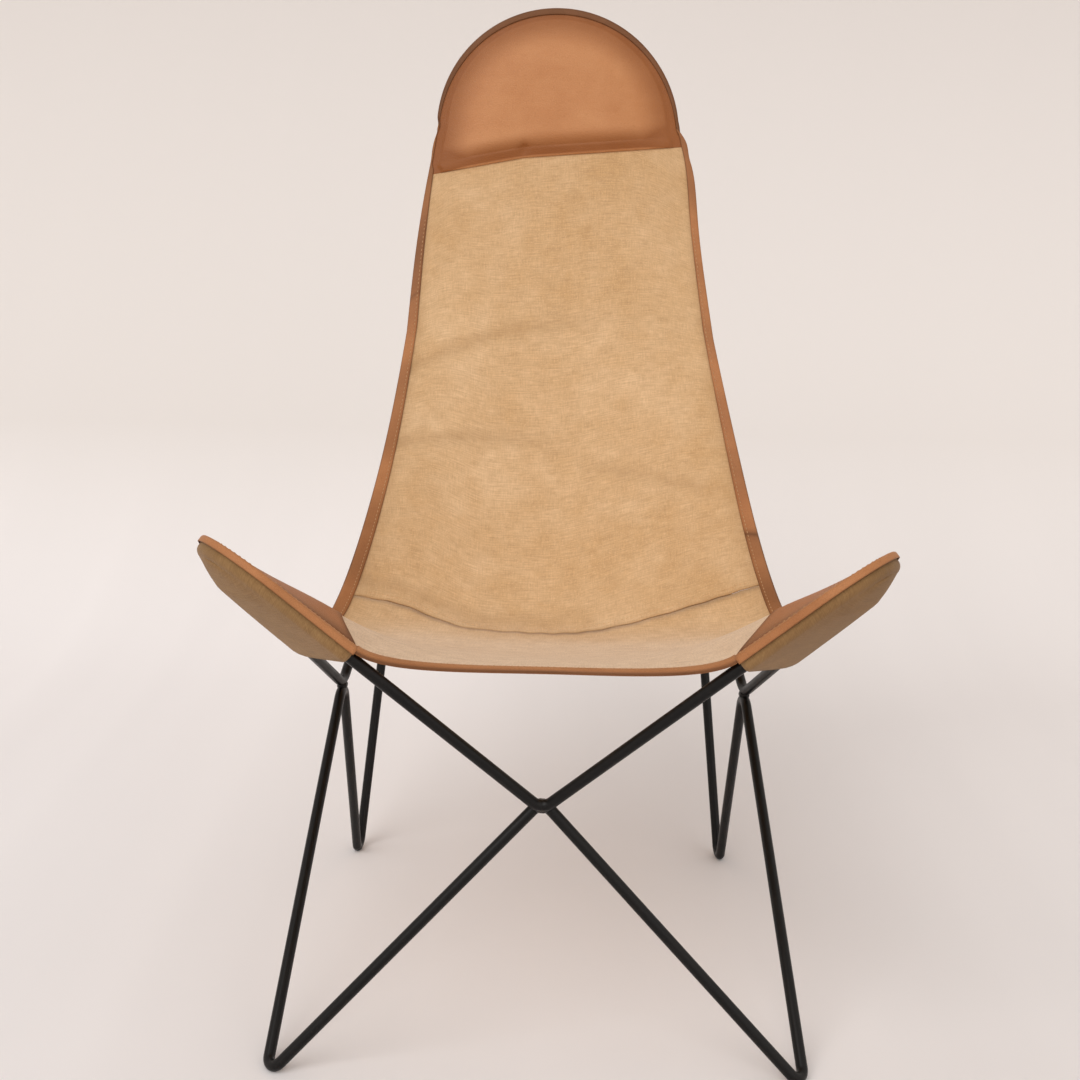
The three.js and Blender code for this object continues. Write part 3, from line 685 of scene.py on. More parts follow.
class Finish(Nodes):
    """A material made from nodes."""

    def __init__(self, name):
        self.material = bpy.data.materials.new(name)
        self.material.use_nodes = True
        super().__init__(self.material.node_tree)

    def cut(self):
        """Where a point lies on the flat piece, in metres."""
        return self.node("ShaderNodeUVMap", {"uv_map": "cut"})

    def body(self):
        """Where a point lies on the chair, in metres."""
        return self.node("ShaderNodeTexCoord", output=3)

    def mark(self, name):
        return self.node("ShaderNodeAttribute", {"attribute_name": name}, output=2)

    def stretched(self, place, x, y, z=1.0):
        return self.node("ShaderNodeVectorMath", {"operation": "MULTIPLY"}, {0: place, 1: (x, y, z)})

    def noise(self, place, scale, detail=3.0, roughness=0.5, distortion=0.0):
        return self.node("ShaderNodeTexNoise", None, {
            "Vector": place, "Scale": scale, "Detail": detail, "Roughness": roughness,
            "Distortion": distortion})

    def cell_edges(self, place, scale):
        settings = {"feature": "DISTANCE_TO_EDGE"}
        return self.node("ShaderNodeTexVoronoi", settings, {"Vector": place, "Scale": scale})

    def ramp(self, value, *stops):
        return self.node("ShaderNodeValToRGB", {"stops": stops}, {"Fac": value})

    def part(self, place, axis):
        return self.node("ShaderNodeSeparateXYZ", None, {0: place}, axis)

    def blend(self, amount, a, b):
        settings = {"data_type": "RGBA", "blend_type": "MIX", "clamp_factor": True}
        return self.node("ShaderNodeMix", settings, {0: amount, 6: a, 7: b}, 2)

    def bump(self, height, strength, distance):
        inputs = {"Strength": strength, "Distance": distance, "Height": height}
        return self.node("ShaderNodeBump", None, inputs)

    def finished(self, **sockets):
        """Joins the surface shader and returns the material."""
        named = {key.replace("_", " "): value for key, value in sockets.items()}
        surface = self.node("ShaderNodeBsdfPrincipled", None, named)
        self.node("ShaderNodeOutputMaterial", None, {"Surface": surface})
        return self.material


def colour(red, green, blue):
    """A colour as it is seen, from 0 to 255, in the shader's own scale."""
    shares = [c / 255 for c in (red, green, blue)]
    linear = [s / 12.92 if s <= 0.04045 else ((s + 0.055) / 1.055) ** 2.4 for s in shares]
    return (*linear, 1.0)


def washed_canvas(name, pale, tan, deep, worn):
    """Washed cotton canvas: yarn slubs both ways, cloudy wash, and a darkening mark that carries soil and
    painted shade.
    """
    f = Finish(name)
    cut = f.cut()
    body = f.body()
    x = f.part(cut, 0)
    y = f.part(cut, 1)
    yarn_pitch = 0.0013
    weave = (x * (2 * math.pi / yarn_pitch)).sine() * (y * (2 * math.pi / yarn_pitch)).sine()
    weft = f.noise(f.stretched(cut, 40, 760), 1.0, 3.0, 0.6)
    warp = f.noise(f.stretched(cut, 900, 60), 1.0, 3.0, 0.6)
    fleck = f.noise(cut, 420.0, 2.0, 0.6)
    cloud = f.noise(body, 6.0, 5.0, 0.62, 0.4)
    blotch = f.noise(body, 28.0, 4.0, 0.6)
    wash = f.ramp(0.65 * cloud + 0.35 * blotch, (0.36, 0.0), (0.64, 1.0))
    ground = f.blend(wash, tan, pale)
    ground = f.blend(f.mark("fade") * 0.75, ground, worn)
    mottle = f.ramp(f.noise(f.stretched(body, 60, 60, 110), 1.0, 4.0, 0.65), (0.4, 0.0), (0.68, 1.0))
    ground = f.blend(mottle * 0.16, ground, deep)
    yarn = f.ramp(0.6 * weft + 0.4 * warp, (0.38, 0.0), (0.62, 1.0))
    ground = f.blend((1 - yarn) * 0.46, ground, deep)
    ground = f.blend(f.ramp(fleck, (0.54, 0.0), (0.68, 1.0)) * 0.4, ground, pale)
    # Painted shade and soil: the mark darkens the cloth towards the deep colour in creases, the seam and
    # beside the edgings.
    soil = (f.mark("soil") * (0.55 + 0.9 * blotch)).least(1.0)
    ground = f.blend(soil * 0.8, ground, deep)
    height = 0.3 * weave + 0.9 * weft + 0.9 * warp + 0.4 * fleck
    normal = f.bump(height, 0.34, 0.0009)
    return f.finished(Base_Color=ground, Roughness=0.86 + 0.1 * yarn, Normal=normal,
                      Sheen_Weight=0.12, Sheen_Roughness=0.5, Specular_IOR_Level=0.18)


def tan_leather(name, pale, tan, deep, rough, grain_size, wrinkle):
    """Waxed tan leather: fine grain, cloudy dye, and a darkening mark for rubbed edges and painted shade in
    grooves and folds.
    """
    f = Finish(name)
    body = f.body()
    grain = f.cell_edges(body, 1 / grain_size)
    pore = f.noise(body, 900.0, 2.0, 0.5)
    cloud = f.noise(body, 9.0, 5.0, 0.6, 0.6)
    streak = f.noise(f.stretched(body, 14, 14, 50), 1.0, 4.0, 0.6)
    dye = f.ramp(0.7 * cloud + 0.3 * streak, (0.35, 0.0), (0.66, 1.0))
    ground = f.blend(dye, tan, pale)
    crack = f.ramp(grain, (0.0, 1.0), (0.10, 0.0))
    ground = f.blend(crack * 0.22, ground, deep)
    # Painted shade and rub: the mark darkens the leather towards the deep colour.
    rub = (f.mark("rub") * (0.6 + 0.8 * cloud)).least(1.0)
    ground = f.blend(rub * 0.85, ground, deep)
    height = f.ramp(grain, (0.0, 0.0), (0.3, 1.0)) + 0.3 * pore + wrinkle * streak
    normal = f.bump(height, 0.3, 0.0006)
    return f.finished(Base_Color=ground, Roughness=(rough + 0.14 * dye + 0.12 * crack).least(0.95),
                      Normal=normal, Specular_IOR_Level=0.3)


def black_paint(name, sheen, lumpy):
    """Brushed-on black paint: slight orange peel, dust and thin rubbed spots."""
    f = Finish(name)
    body = f.body()
    peel = f.noise(body, 420.0, 2.0, 0.5)
    sag = f.noise(body, 60.0, 3.0, 0.55)
    dust = f.ramp(f.noise(body, 24.0, 5.0, 0.65), (0.52, 0.0), (0.78, 1.0))
    chip = f.ramp(f.noise(body, 240.0, 4.0, 0.6), (0.68, 0.0), (0.74, 1.0))
    ground = f.blend(dust * 0.5, colour(8, 6, 5), colour(26, 21, 18))
    ground = f.blend(chip * 0.3, ground, colour(60, 54, 48))
    normal = f.bump(peel + lumpy * sag, 0.22, 0.0006)
    return f.finished(Base_Color=ground, Roughness=sheen + 0.16 * dust + 0.2 * chip, Normal=normal,
                      Specular_IOR_Level=0.24)


def sewing_thread(name, pale, deep):
    f = Finish(name)
    body = f.body()
    twist = f.noise(f.stretched(body, 700, 700, 2400), 1.0, 2.0, 0.5)
    ground = f.blend(f.ramp(twist, (0.35, 0.0), (0.65, 1.0)), deep, pale)
    return f.finished(Base_Color=ground, Roughness=0.7 + 0.2 * twist, Normal=f.bump(twist, 0.4, 0.0003),
                      Specular_IOR_Level=0.25)


canvas_finish = washed_canvas("washed_tan_canvas", colour(235, 197, 153), colour(215, 172, 123),
                              colour(160, 121, 79), colour(250, 222, 192))
# A darker copy of the canvas for the horn pockets: painted shade of the horn undersides.
shaded_pouch_finish = washed_canvas("shaded_pocket_canvas", colour(177, 140, 95), colour(161, 122, 78),
                             colour(108, 76, 42), colour(177, 140, 95))
pad_finish = tan_leather("headrest_leather", colour(200, 139, 91), colour(185, 121, 72),
                         colour(130, 68, 12), 0.36, 0.0022, 0.5)
patch_finish = tan_leather("horn_leather", colour(180, 119, 78), colour(160, 101, 63),
                           colour(98, 56, 30), 0.42, 0.002, 0.6)
edging_finish = tan_leather("edging_leather", colour(192, 130, 82), colour(166, 106, 62),
                            colour(84, 48, 20), 0.46, 0.0017, 1.0)
bar_finish = black_paint("black_bar_paint", 0.36, 0.5)
weld_finish = black_paint("black_weld_paint", 0.38, 1.2)
thread_finish = sewing_thread("waxed_thread", colour(206, 162, 118), colour(152, 108, 72))
seam_thread_finish = sewing_thread("seam_thread", colour(226, 186, 140), colour(202, 160, 114))


# Frame pieces

def bar_piece(name, line, replaced):
    """Round bar swept along a line, with its feet ground flat on the floor."""
    tangent = unit(np.gradient(line, axis=0))
    tangent[0] = unit(line[1] - line[0])
    tangent[-1] = unit(line[-1] - line[-2])
    side = unit(np.cross(tangent[0], vec(0.3, 0.4, 0.87)))
    rings = []
    turn = np.linspace(0, 2 * math.pi, BAR_SIDES, endpoint=False)[:, None]
    for p, t in zip(line, tangent):
        side = unit(side - t * (side @ t))
        other = np.cross(t, side)
        ring = p + (np.cos(turn) * side + np.sin(turn) * other) * ROD_RADIUS
        ring[:, 2] = np.maximum(ring[:, 2], 0)
        rings.append(ring)
    stands_for(strip_piece(name, rings, bar_finish), replaced)


def weld_piece(name, centre, reach, replaced):
    """A hand-laid bead in the notch between bars, with the ripples of its passes."""
    polar = np.linspace(0.02, math.pi - 0.02, 22)
    turn = np.linspace(0, 2 * math.pi, 36, endpoint=False)
    ripple = 0.45 * np.sin(9 * turn)[None] * np.sin(polar)[:, None]
    lump = 0.5 * np.sin(3 * turn + 0.7)[None] * np.sin(2 * polar)[:, None]
    r = 1 + 0.07 * (ripple + lump)
    ball = np.stack([
        r * np.sin(polar)[:, None] * np.cos(turn)[None],
        r * np.sin(polar)[:, None] * np.sin(turn)[None],
        r * np.cos(polar)[:, None] + 0 * turn[None]], -1)
    stands_for(strip_piece(name, centre + ball * reach, weld_finish), replaced)


bar_piece("back_hoop_bar", bar_line(hoop_loop, 1, 5), "back_hoop")
leg_line = bar_line(lower, 4, 6)
horn_line = bar_line(upper, 3, 6)
weld_piece("front_cross_bead", cross_middle, vec(8.5, 7.5, 7.5), "front_cross_weld")
for word, turn_over in (("left", mirrored), ("right", np.asarray)):
    bar_piece(f"{word}_front_leg_bar", turn_over(leg_line), f"{word}_front_leg")
    bar_piece(f"{word}_horn_bar", turn_over(horn_line), f"{word}_horn_rod")
    weld_piece(f"{word}_side_bead", turn_over(side_middle), vec(6.5, 9.5, 6.5), f"{word}_side_weld")
    weld_piece(f"{word}_brace_bead", turn_over(brace_contact), vec(7.5, 7.5, 9.0), f"{word}_brace_weld")


# Sling pieces

SKIN = CANVAS / 2 + CLOTH_GAP
PANEL_COLUMNS = 161
SEAT_ROWS = 76
BACK_ROWS = 150
RISING_CREASE = 0.7275
RISING_LOWEST = -0.2
LEFT_CREASE = 0.648
RIGHT_CREASE = 0.605
CREASE_WIDTH = 0.006
CREASE_SOIL_WIDTH = 0.007


def creases(u, v, width):
    """Long shallow creases across the back: one rises from the left edge, two short ones lie lower."""
    rising_at = RISING_CREASE + np.where(u < RISING_LOWEST, 0.006, 0.048) * (u - RISING_LOWEST) ** 2
    rising = hump(rising_at, width, v) * (0.3 + 0.7 * smooth(0.35, -0.3, u))
    left = hump(LEFT_CREASE - 0.026 * (u + 1), width, v) * smooth(0.15, -0.35, u)
    right_reach = smooth(0.0, 0.35, u) * smooth(0.95, 0.7, u)
    right = 0.8 * hump(RIGHT_CREASE - 0.012 * (u - 0.2), width, v) * right_reach
    return rising + left + right


def cloth_relief(u, v):
    """Soft rises and dents of the hung cloth, in millimetres along its face."""
    inside = smooth(1.0, 0.86, np.abs(u)) * smooth(0.83, 0.79, v)
    past = v - seam(u)
    above_seam = 2.4 * hump(0.03, 0.018, past) * np.sin(3.1 * u + 0.4)
    lap = 1.5 * smooth(-0.003, 0.002, past) * smooth(0.03, 0.0, past)
    pucker = 0.5 * hump(0.0, 0.016, past) * np.sin(46 * u + 2 * np.sin(7 * u))
    cloudy = 0.9 * np.sin(5 * u + 9 * v) * np.sin(17 * v + 2 * u)
    puff = HORN_PUFF * hump(0.68, 0.13, np.abs(u)) * hump(0.15, 0.08, v) * smooth(0.0, 0.08, v)
    return inside * (above_seam + lap + pucker + cloudy + puff - creases(u, v, CREASE_WIDTH))


def shade_and_soil_mark(u, v):
    """Where the cloth is darkened: beside the edgings, along the seam and slightly towards the head, with
    painted shade in the fold above the seam and along the creases.
    """
    past = v - seam(u)
    rim = 0.35 * smooth(0.84, 0.97, np.abs(u))
    seam_line = 0.9 * hump(-0.002, 0.003, past) * (0.7 + 0.3 * np.sin(9 * u + 1))
    # Painted shade: a dark fold just above the seam on the left, and darker bands along the creases.
    fold = 0.25 * hump(0.022, 0.008, past) * smooth(0.6, -0.6, u)
    under_head = 0.05 * smooth(0.8, 0.87, v + 0.05 * u**2)
    folded = 0.34 * creases(u, v, CREASE_SOIL_WIDTH)
    return np.clip(rim + seam_line + fold + folded + under_head, 0, 1)


def fade_mark(u, v):
    """Where the seat is worn pale."""
    return 0.95 * smooth(0.46, 0.36, v) * smooth(1.0, 0.6, np.abs(u))


def panel(name, u, v, replaced):
    rows = sling(u, v)
    rise = cloth_relief(u, v)
    piece = sheet_piece(name, rows, rise - CANVAS / 2, rise + CANVAS / 2, canvas_finish, cut_uv(rows),
                        {"soil": shade_and_soil_mark(u, v), "fade": fade_mark(u, v)})
    return stands_for(piece, replaced)


columns, share = np.meshgrid(np.linspace(-1, 1, PANEL_COLUMNS), np.linspace(0, 1, SEAT_ROWS))
seat = panel("seat_cloth", columns, share * (seam(columns) - HAIRLINE), "seat_panel")
columns, share = np.meshgrid(np.linspace(-1, 1, PANEL_COLUMNS), np.linspace(0, 1, BACK_ROWS))
back = panel("back_cloth", columns, lerp(seam(columns) + HAIRLINE, 1.0, share), "back_panel")

tape_half = SEAM_TAPE_HALF_WIDTH * SEAM_SHARE / seat_curve.length
tape_u, tape_off = np.meshgrid(np.linspace(-SEAM_TAPE_REACH, SEAM_TAPE_REACH, 121),
                               np.linspace(-tape_half, tape_half, 9))
tape_v = seam(tape_u) + tape_off
tape_rows = sling(tape_u, tape_v)
tape_low = cloth_relief(tape_u, tape_v) - CANVAS / 2 - CLOTH_GAP
tape = sheet_piece("seam_tape_strip", tape_rows, tape_low - SEAM_TAPE_THICKNESS, tape_low, canvas_finish,
                   cut_uv(tape_rows), {"soil": 0 * tape_u, "fade": 0 * tape_u})
stands_for(tape, "seam_tape")


def pouch_rows(line, length_a, length_b, sag):
    """Sections of a pocket: the wall round one arm, the plate under the rod and the other wall."""
    arc = np.linspace(0, ARC_STEPS, 25)
    straight = np.linspace(ARC_STEPS, HORN_STEPS, 20)[1:]
    round_off = np.radians(np.linspace(0, 74, 9))
    out_of = np.concatenate([[WALL, WALL], WALL * np.cos(round_off)])
    up_to = np.concatenate([[LIFT - CANVAS / 2 - CLOTH_GAP, LIFT / 2], -LIFT * np.sin(round_off)])
    rows = []
    for step in np.concatenate([arc, straight]):
        sections = []
        for arm, length in ((1, length_a), (-1, length_b)):
            p, outward = line.at(arm, step, length)
            sections.append(p + outward * out_of[:, None] + line.face * up_to[:, None])
        a, b = sections
        t = np.linspace(0, 1, 15)[1:-1, None]
        slack = sag * min(1, step / ARC_STEPS)
        fold = 0.08 * slack * np.sin(3 * math.pi * t + 0.5 * step)
        plate = a[-1] * (1 - t) + b[-1] * t - line.face * (slack + fold) * np.sin(math.pi * t)
        rows.append(np.concatenate([a, plate, b[::-1]]))
    return np.array(rows)


def pouch(name, rows, replaced, soil, finish=shaded_pouch_finish):
    piece = sheet_piece(name, rows, -CANVAS / 2, CANVAS / 2, finish, cut_uv(rows),
                        {"soil": soil, "fade": 0 * soil})
    return stands_for(piece, replaced)


horn_rows = pouch_rows(horn, FRONT_POCKET_LENGTH, HORN_POUCH_REAR, HORN_POUCH_SAG)
# Darker towards each horn's tip; the right pouch gets more, as painted shade on the side away from the key
# light.
pouch_shade_and_soil = np.linspace(0.45, 0.1, len(horn_rows))[:, None] + np.zeros(horn_rows.shape[1])
left_pouch = pouch("left_horn_pouch", mirrored(horn_rows)[:, ::-1], "left_horn_pocket", pouch_shade_and_soil)
right_pouch = pouch("right_horn_pouch", horn_rows, "right_horn_pocket", pouch_shade_and_soil + 0.25)
head_rows = pouch_rows(head, HEAD_POCKET_LENGTH, HEAD_POCKET_LENGTH, HEAD_POUCH_SAG)
head_pouch = pouch("head_pouch", head_rows, "head_pocket", np.full(head_rows.shape[:2], 0.2), canvas_finish)


# Edgings: leather strips folded over the rims

LEG_PLACES = np.array([0.0, 0.06, 0.2, 0.5, 0.8, 1.0])
LEG_THICKNESS = np.array([0.45, 0.85, 1.0, 1.1, 1.05, 1.0]) * LEATHER
FOLD_EASE = 0.2
RIM_STAND_OFF = 0.5
# Where a painted shade line lies round each edging's section, as a share of it.
FOLDED_SHADE_LINE = 0.29
HORN_SHADE_LINE = 0.54
HEAD_SHADE_LINE = 0.3
HEAD_LEFT_TUCK = 2.6
HEAD_RIGHT_STAND_OUT = 3.4
SIDE_EDGING_END = 0.9995
LEFT_EDGING_JOINT = 0.815
RIGHT_EDGING_JOINT = 0.55


def folded_ring(rim, inner, rim_face, inner_face, open_half):
    """Section of a strip folded round one layer: upper leg, rolled nose, lower leg, inside."""
    out = unit(rim - inner)
    nose = rim + out * 2 * CLOTH_GAP
    upper_leg, under_leg, upper_in, under_in = [], [], [], []
    for t, deep in zip(LEG_PLACES, LEG_THICKNESS):
        p = lerp(inner, nose, t)
        n = unit(lerp(inner_face, rim_face, t))
        upper_leg.append(p + n * (open_half + deep))
        under_leg.append(p - n * (open_half + deep))
        upper_in.append(p + n * open_half)
        under_in.append(p - n * open_half)
    turn = np.radians([60, 30, 0, -30, -60])
    rolled = [nose + out * (open_half + LEATHER) * math.cos(a) * 0.8
              + rim_face * (open_half + LEATHER) * math.sin(a) for a in turn]
    return upper_leg + rolled + under_leg[::-1] + under_in + upper_in[::-1]


def wrapped_ring(rim, inner, inner_face, outward, face, cover):
    """Section of a strip over a pocket rim: one leg on the sheet, the other down the pocket's wall."""
    corner = rim + outward * RIM_STAND_OFF
    upper_leg, upper_in = [], []
    for t, deep in zip(LEG_PLACES[:-1], LEG_THICKNESS[:-1]):
        p = lerp(inner, corner, t)
        n = unit(lerp(inner_face, face, t))
        upper_leg.append(p + n * (SKIN + deep))
        upper_in.append(p + n * SKIN)
    turn = np.radians([90, 65, 40, 15])
    shoulder = [corner + (outward * math.cos(a) + face * math.sin(a)) * (SKIN + LEATHER) for a in turn]
    drop = np.array([0.15, 0.4, 0.7, 0.95, 1.0]) * cover
    wall_out = [corner + outward * (SKIN + LEATHER) - face * d for d in drop]
    wall_out[-1] = wall_out[-1] - outward * LEATHER * 0.5
    wall_in = [corner + outward * SKIN - face * d for d in drop[::-1]]
    bend_in = [corner + (outward + face) * SKIN * 0.7]
    return upper_leg + shoulder + wall_out + wall_in + bend_in + upper_in[::-1]


def strip_uv(rings):
    rings = np.asarray(rings, float)
    lengthwise = walked_length(rings)
    across = walked_length(np.swapaxes(rings, 0, 1)).T
    return np.stack([across, lengthwise[:, :1] + 0 * across], -1) * MM


def edging(name, rings, replaced, shade_line, worn=None):
    rings = np.asarray(rings, float)
    size = rings.shape[1]
    place = np.arange(size) / size
    # Painted shade: dark lines round the section at its inner edge and at its fold or rim.
    lines = 0.6 * hump(0.0, 0.03, place) + 0.95 * hump(shade_line, 0.06, place)
    rub = np.broadcast_to(lines, rings.shape[:2])
    if worn is not None:
        rub = np.clip(rub + worn[:, None], 0, 1)
    piece = strip_piece(name, rings, edging_finish, strip_uv(rings), {"rub": rub})
    return stands_for(piece, replaced)


def folded_edging(name, rim_uv, inner_uv, replaced, worn=None, stand_out=0.0):
    (ru, rv), (iu, iv) = rim_uv, inner_uv
    rims, inners = sling(ru, rv), sling(iu, iv)
    rim_faces, inner_faces = sling_normal(ru, rv), sling_normal(iu, iv)
    rims = rims + vec(1, 0, 0) * (np.sign(ru) * stand_out)[:, None]
    rings = [folded_ring(*four, SKIN + FOLD_EASE) for four in zip(rims, inners, rim_faces, inner_faces)]
    return edging(name, rings, replaced, FOLDED_SHADE_LINE, worn)


def horn_path(side):
    """Rim and inner line of the horn's edging, from the front edge round the tip to the side edge."""
    front_u = np.linspace(HORN_SHARE, 1, 60)
    rear_v = np.linspace(0, POCKET_SHARE, 70)[1:]
    tip_v = side_inset(np.array([0.02]), HORN_EDGING_WIDTH)[0]
    rim_u = np.concatenate([front_u, np.ones(len(rear_v))]) * side
    rim_v = np.concatenate([np.zeros(len(front_u)), rear_v])
    inner_front_u = np.minimum(front_u, tip_v)
    inner_front_v = front_inset(inner_front_u * side, HORN_EDGING_WIDTH)
    inner_rear_v = np.maximum(rear_v, inner_front_v[-1])
    inner_rear_u = side_inset(inner_rear_v, HORN_EDGING_WIDTH)
    inner_u = np.concatenate([inner_front_u, inner_rear_u]) * side
    inner_v = np.concatenate([inner_front_v, inner_rear_v])
    front_out = horn.at(1, front_step(front_u), 0)[1]
    rear_out = horn.at(-1, rear_step(rear_v), 0)[1]
    return (rim_u, rim_v), (inner_u, inner_v), np.concatenate([front_out, rear_out])


def horn_edging(word, side):
    (ru, rv), (iu, iv), outward = horn_path(side)
    face = horn.face
    if side < 0:
        outward, face = mirrored(outward), mirrored(face)
    rims, inners, inner_faces = sling(ru, rv), sling(iu, iv), sling_normal(iu, iv)
    rings = [wrapped_ring(r, i, n, o, face, HORN_WALL_COVER)
             for r, i, n, o in zip(rims, inners, inner_faces, outward)]
    return edging(f"{word}_horn_edging", rings, f"{word}_horn_binding", HORN_SHADE_LINE)


def head_edging():
    u = np.linspace(-1, 1, 161)
    inner_u = np.clip(u, -0.97, 0.97)
    outward = sided(head.at(1, arch_step(u), 0)[1], u)
    stand_out = np.where(u < 0, -HEAD_LEFT_TUCK * smooth(0.75, 1.0, -u),
                         HEAD_RIGHT_STAND_OUT * smooth(0.42, 1.0, u))
    rims = sling(u, 1 + 0 * u) + outward * stand_out[:, None]
    inners = sling(inner_u, head_inset(inner_u))
    faces = sling_normal(inner_u, head_inset(inner_u))
    rings = [wrapped_ring(r, i, n, o, head.face, HEAD_WALL_COVER)
             for r, i, n, o in zip(rims, inners, faces, outward)]
    return edging("head_edging", rings, "head_binding", HEAD_SHADE_LINE, np.full(len(u), 0.9))


def side_width(v, side):
    """A side edging narrows beside the headrest, at once on the left and as a wedge on the right."""
    narrowing = smooth(0.945, 0.958, v) if side < 0 else np.clip((v - 0.978) / 0.018, 0, 1)
    return lerp(EDGING_WIDTH, HEAD_RIM, narrowing)


def side_wear(v, side):
    """Burnish: of an edging's two strips the upper is darker on the left, the lower on the right."""
    patchy = 0.1 + 0.2 * np.sin(61 * v + side) * np.sin(23 * v)
    joint = LEFT_EDGING_JOINT if side < 0 else RIGHT_EDGING_JOINT
    upper = smooth(joint, joint + 0.01, v)
    if side < 0:
        dark = 0.12 + 0.32 * upper + 0.12 * smooth(0.6, 0.54, v)
    else:
        dark = 0.34 * (1 - upper) + 0.2 * smooth(0.9, 0.95, v)
    return patchy + dark + 0.5 * hump(joint, 0.003, v)


def side_stand_out(v, side):
    """How far a side edging stands out where it meets the head edging, in millimetres."""
    if side < 0:
        return smooth(0.965, 0.98, v) - 2.5 * smooth(0.985, 1.0, v)
    return 5.2 * smooth(0.972, 0.994, v)


free_u = np.linspace(-HORN_SHARE, HORN_SHARE, 90)
front_trim = folded_edging("front_edging", (free_u, 0 * free_u), (free_u, front_inset(free_u)),
                           "front_binding")
free_v = np.linspace(POCKET_SHARE, SIDE_EDGING_END, 180)
for word, side in SIDES:
    inner_u = side * side_inset(free_v, side_width(free_v, side))
    folded_edging(f"{word}_side_edging", (side + 0 * free_v, free_v), (inner_u, free_v),
                                     f"{word}_side_binding", side_wear(free_v, side),
                                     side_stand_out(free_v, side))
    horn_edging(word, side)
    word + "_horn"
head_trim = head_edging()


# Leather patches

HORN_LEATHER_INSET = 9.0
HORN_LEATHER_EASE = 0.15
LEFT_HORN_BOW = 0.05
RIGHT_HORN_BOW = 0.27
HORN_LEATHER_ROWS = 60


def horn_leather(word, side):
    """Leather over the top of a horn, from its tip to the mouth of the pocket."""
    arm_u, arm_v = np.linspace(1, HORN_SHARE, 61), np.linspace(0, POCKET_SHARE, 61)
    front_walk = walked_length(sling(arm_u, 0 * arm_u))
    rear_walk = walked_length(sling(1 + 0 * arm_v, arm_v))
    t = np.linspace(0, 1, 50)[None]
    reach = np.linspace(0.05, 0.98, HORN_LEATHER_ROWS)[:, None]
    bow = LEFT_HORN_BOW if side < 0 else RIGHT_HORN_BOW
    reach = reach * (1 - bow * reach * np.sin(math.pi * t))
    u = np.interp((1 - t) * reach * front_walk[-1], front_walk, arm_u)
    v = np.interp(t * reach * rear_walk[-1], rear_walk, arm_v)
    rim_u, rim_v = 1 - side_inset(v, HORN_LEATHER_INSET), front_inset(u, HORN_LEATHER_INSET)
    grid_u = side * (1 - rim_u - (1 - rim_u / (1 - HORN_SHARE)) * (1 - u))
    grid_v = rim_v + (1 - rim_v / POCKET_SHARE) * v
    rows, rise = sling(grid_u, grid_v), cloth_relief(grid_u, grid_v)
    if side < 0:
        rows, rise = rows[:, ::-1], rise[:, ::-1]
    # Painted shade: darker towards the pocket's mouth and along the edges beside the edgings.
    mouth_shade = 0.7 * hump(1.0, 0.04, np.linspace(0, 1, HORN_LEATHER_ROWS))[:, None]
    rub = mouth_shade + 0.75 * (hump(0.0, 0.07, t) + hump(1.0, 0.07, t))
    under = rise + CANVAS / 2 + HORN_LEATHER_EASE
    piece = sheet_piece(f"{word}_horn_leather", rows, under, rise + SKIN + LEATHER, patch_finish,
                        cut_uv(rows), {"rub": rub})
    return stands_for(piece, f"{word}_horn_patch")


horn_leathers = {word: horn_leather(word, side) for word, side in SIDES}

PAD_RISE = 7.0
PAD_FLANGE = 3.0
HEM_WIDTH = 13.0
HEM_RISE = 1.5
HEM_SLOPE_LEFT = 0.2
HEM_SLOPE_RIGHT = 0.09
PUCKER_PLACE = -42.0


def gap_to(points, line, width):
    """Distance of each point from the nearest point of a line, less a width given along it."""
    width = np.broadcast_to(width, len(line))
    gap = np.full(points.shape[:-1], np.inf)
    for p, w in zip(line, width):
        gap = np.minimum(gap, np.linalg.norm(points - p, axis=-1) - w)
    return gap


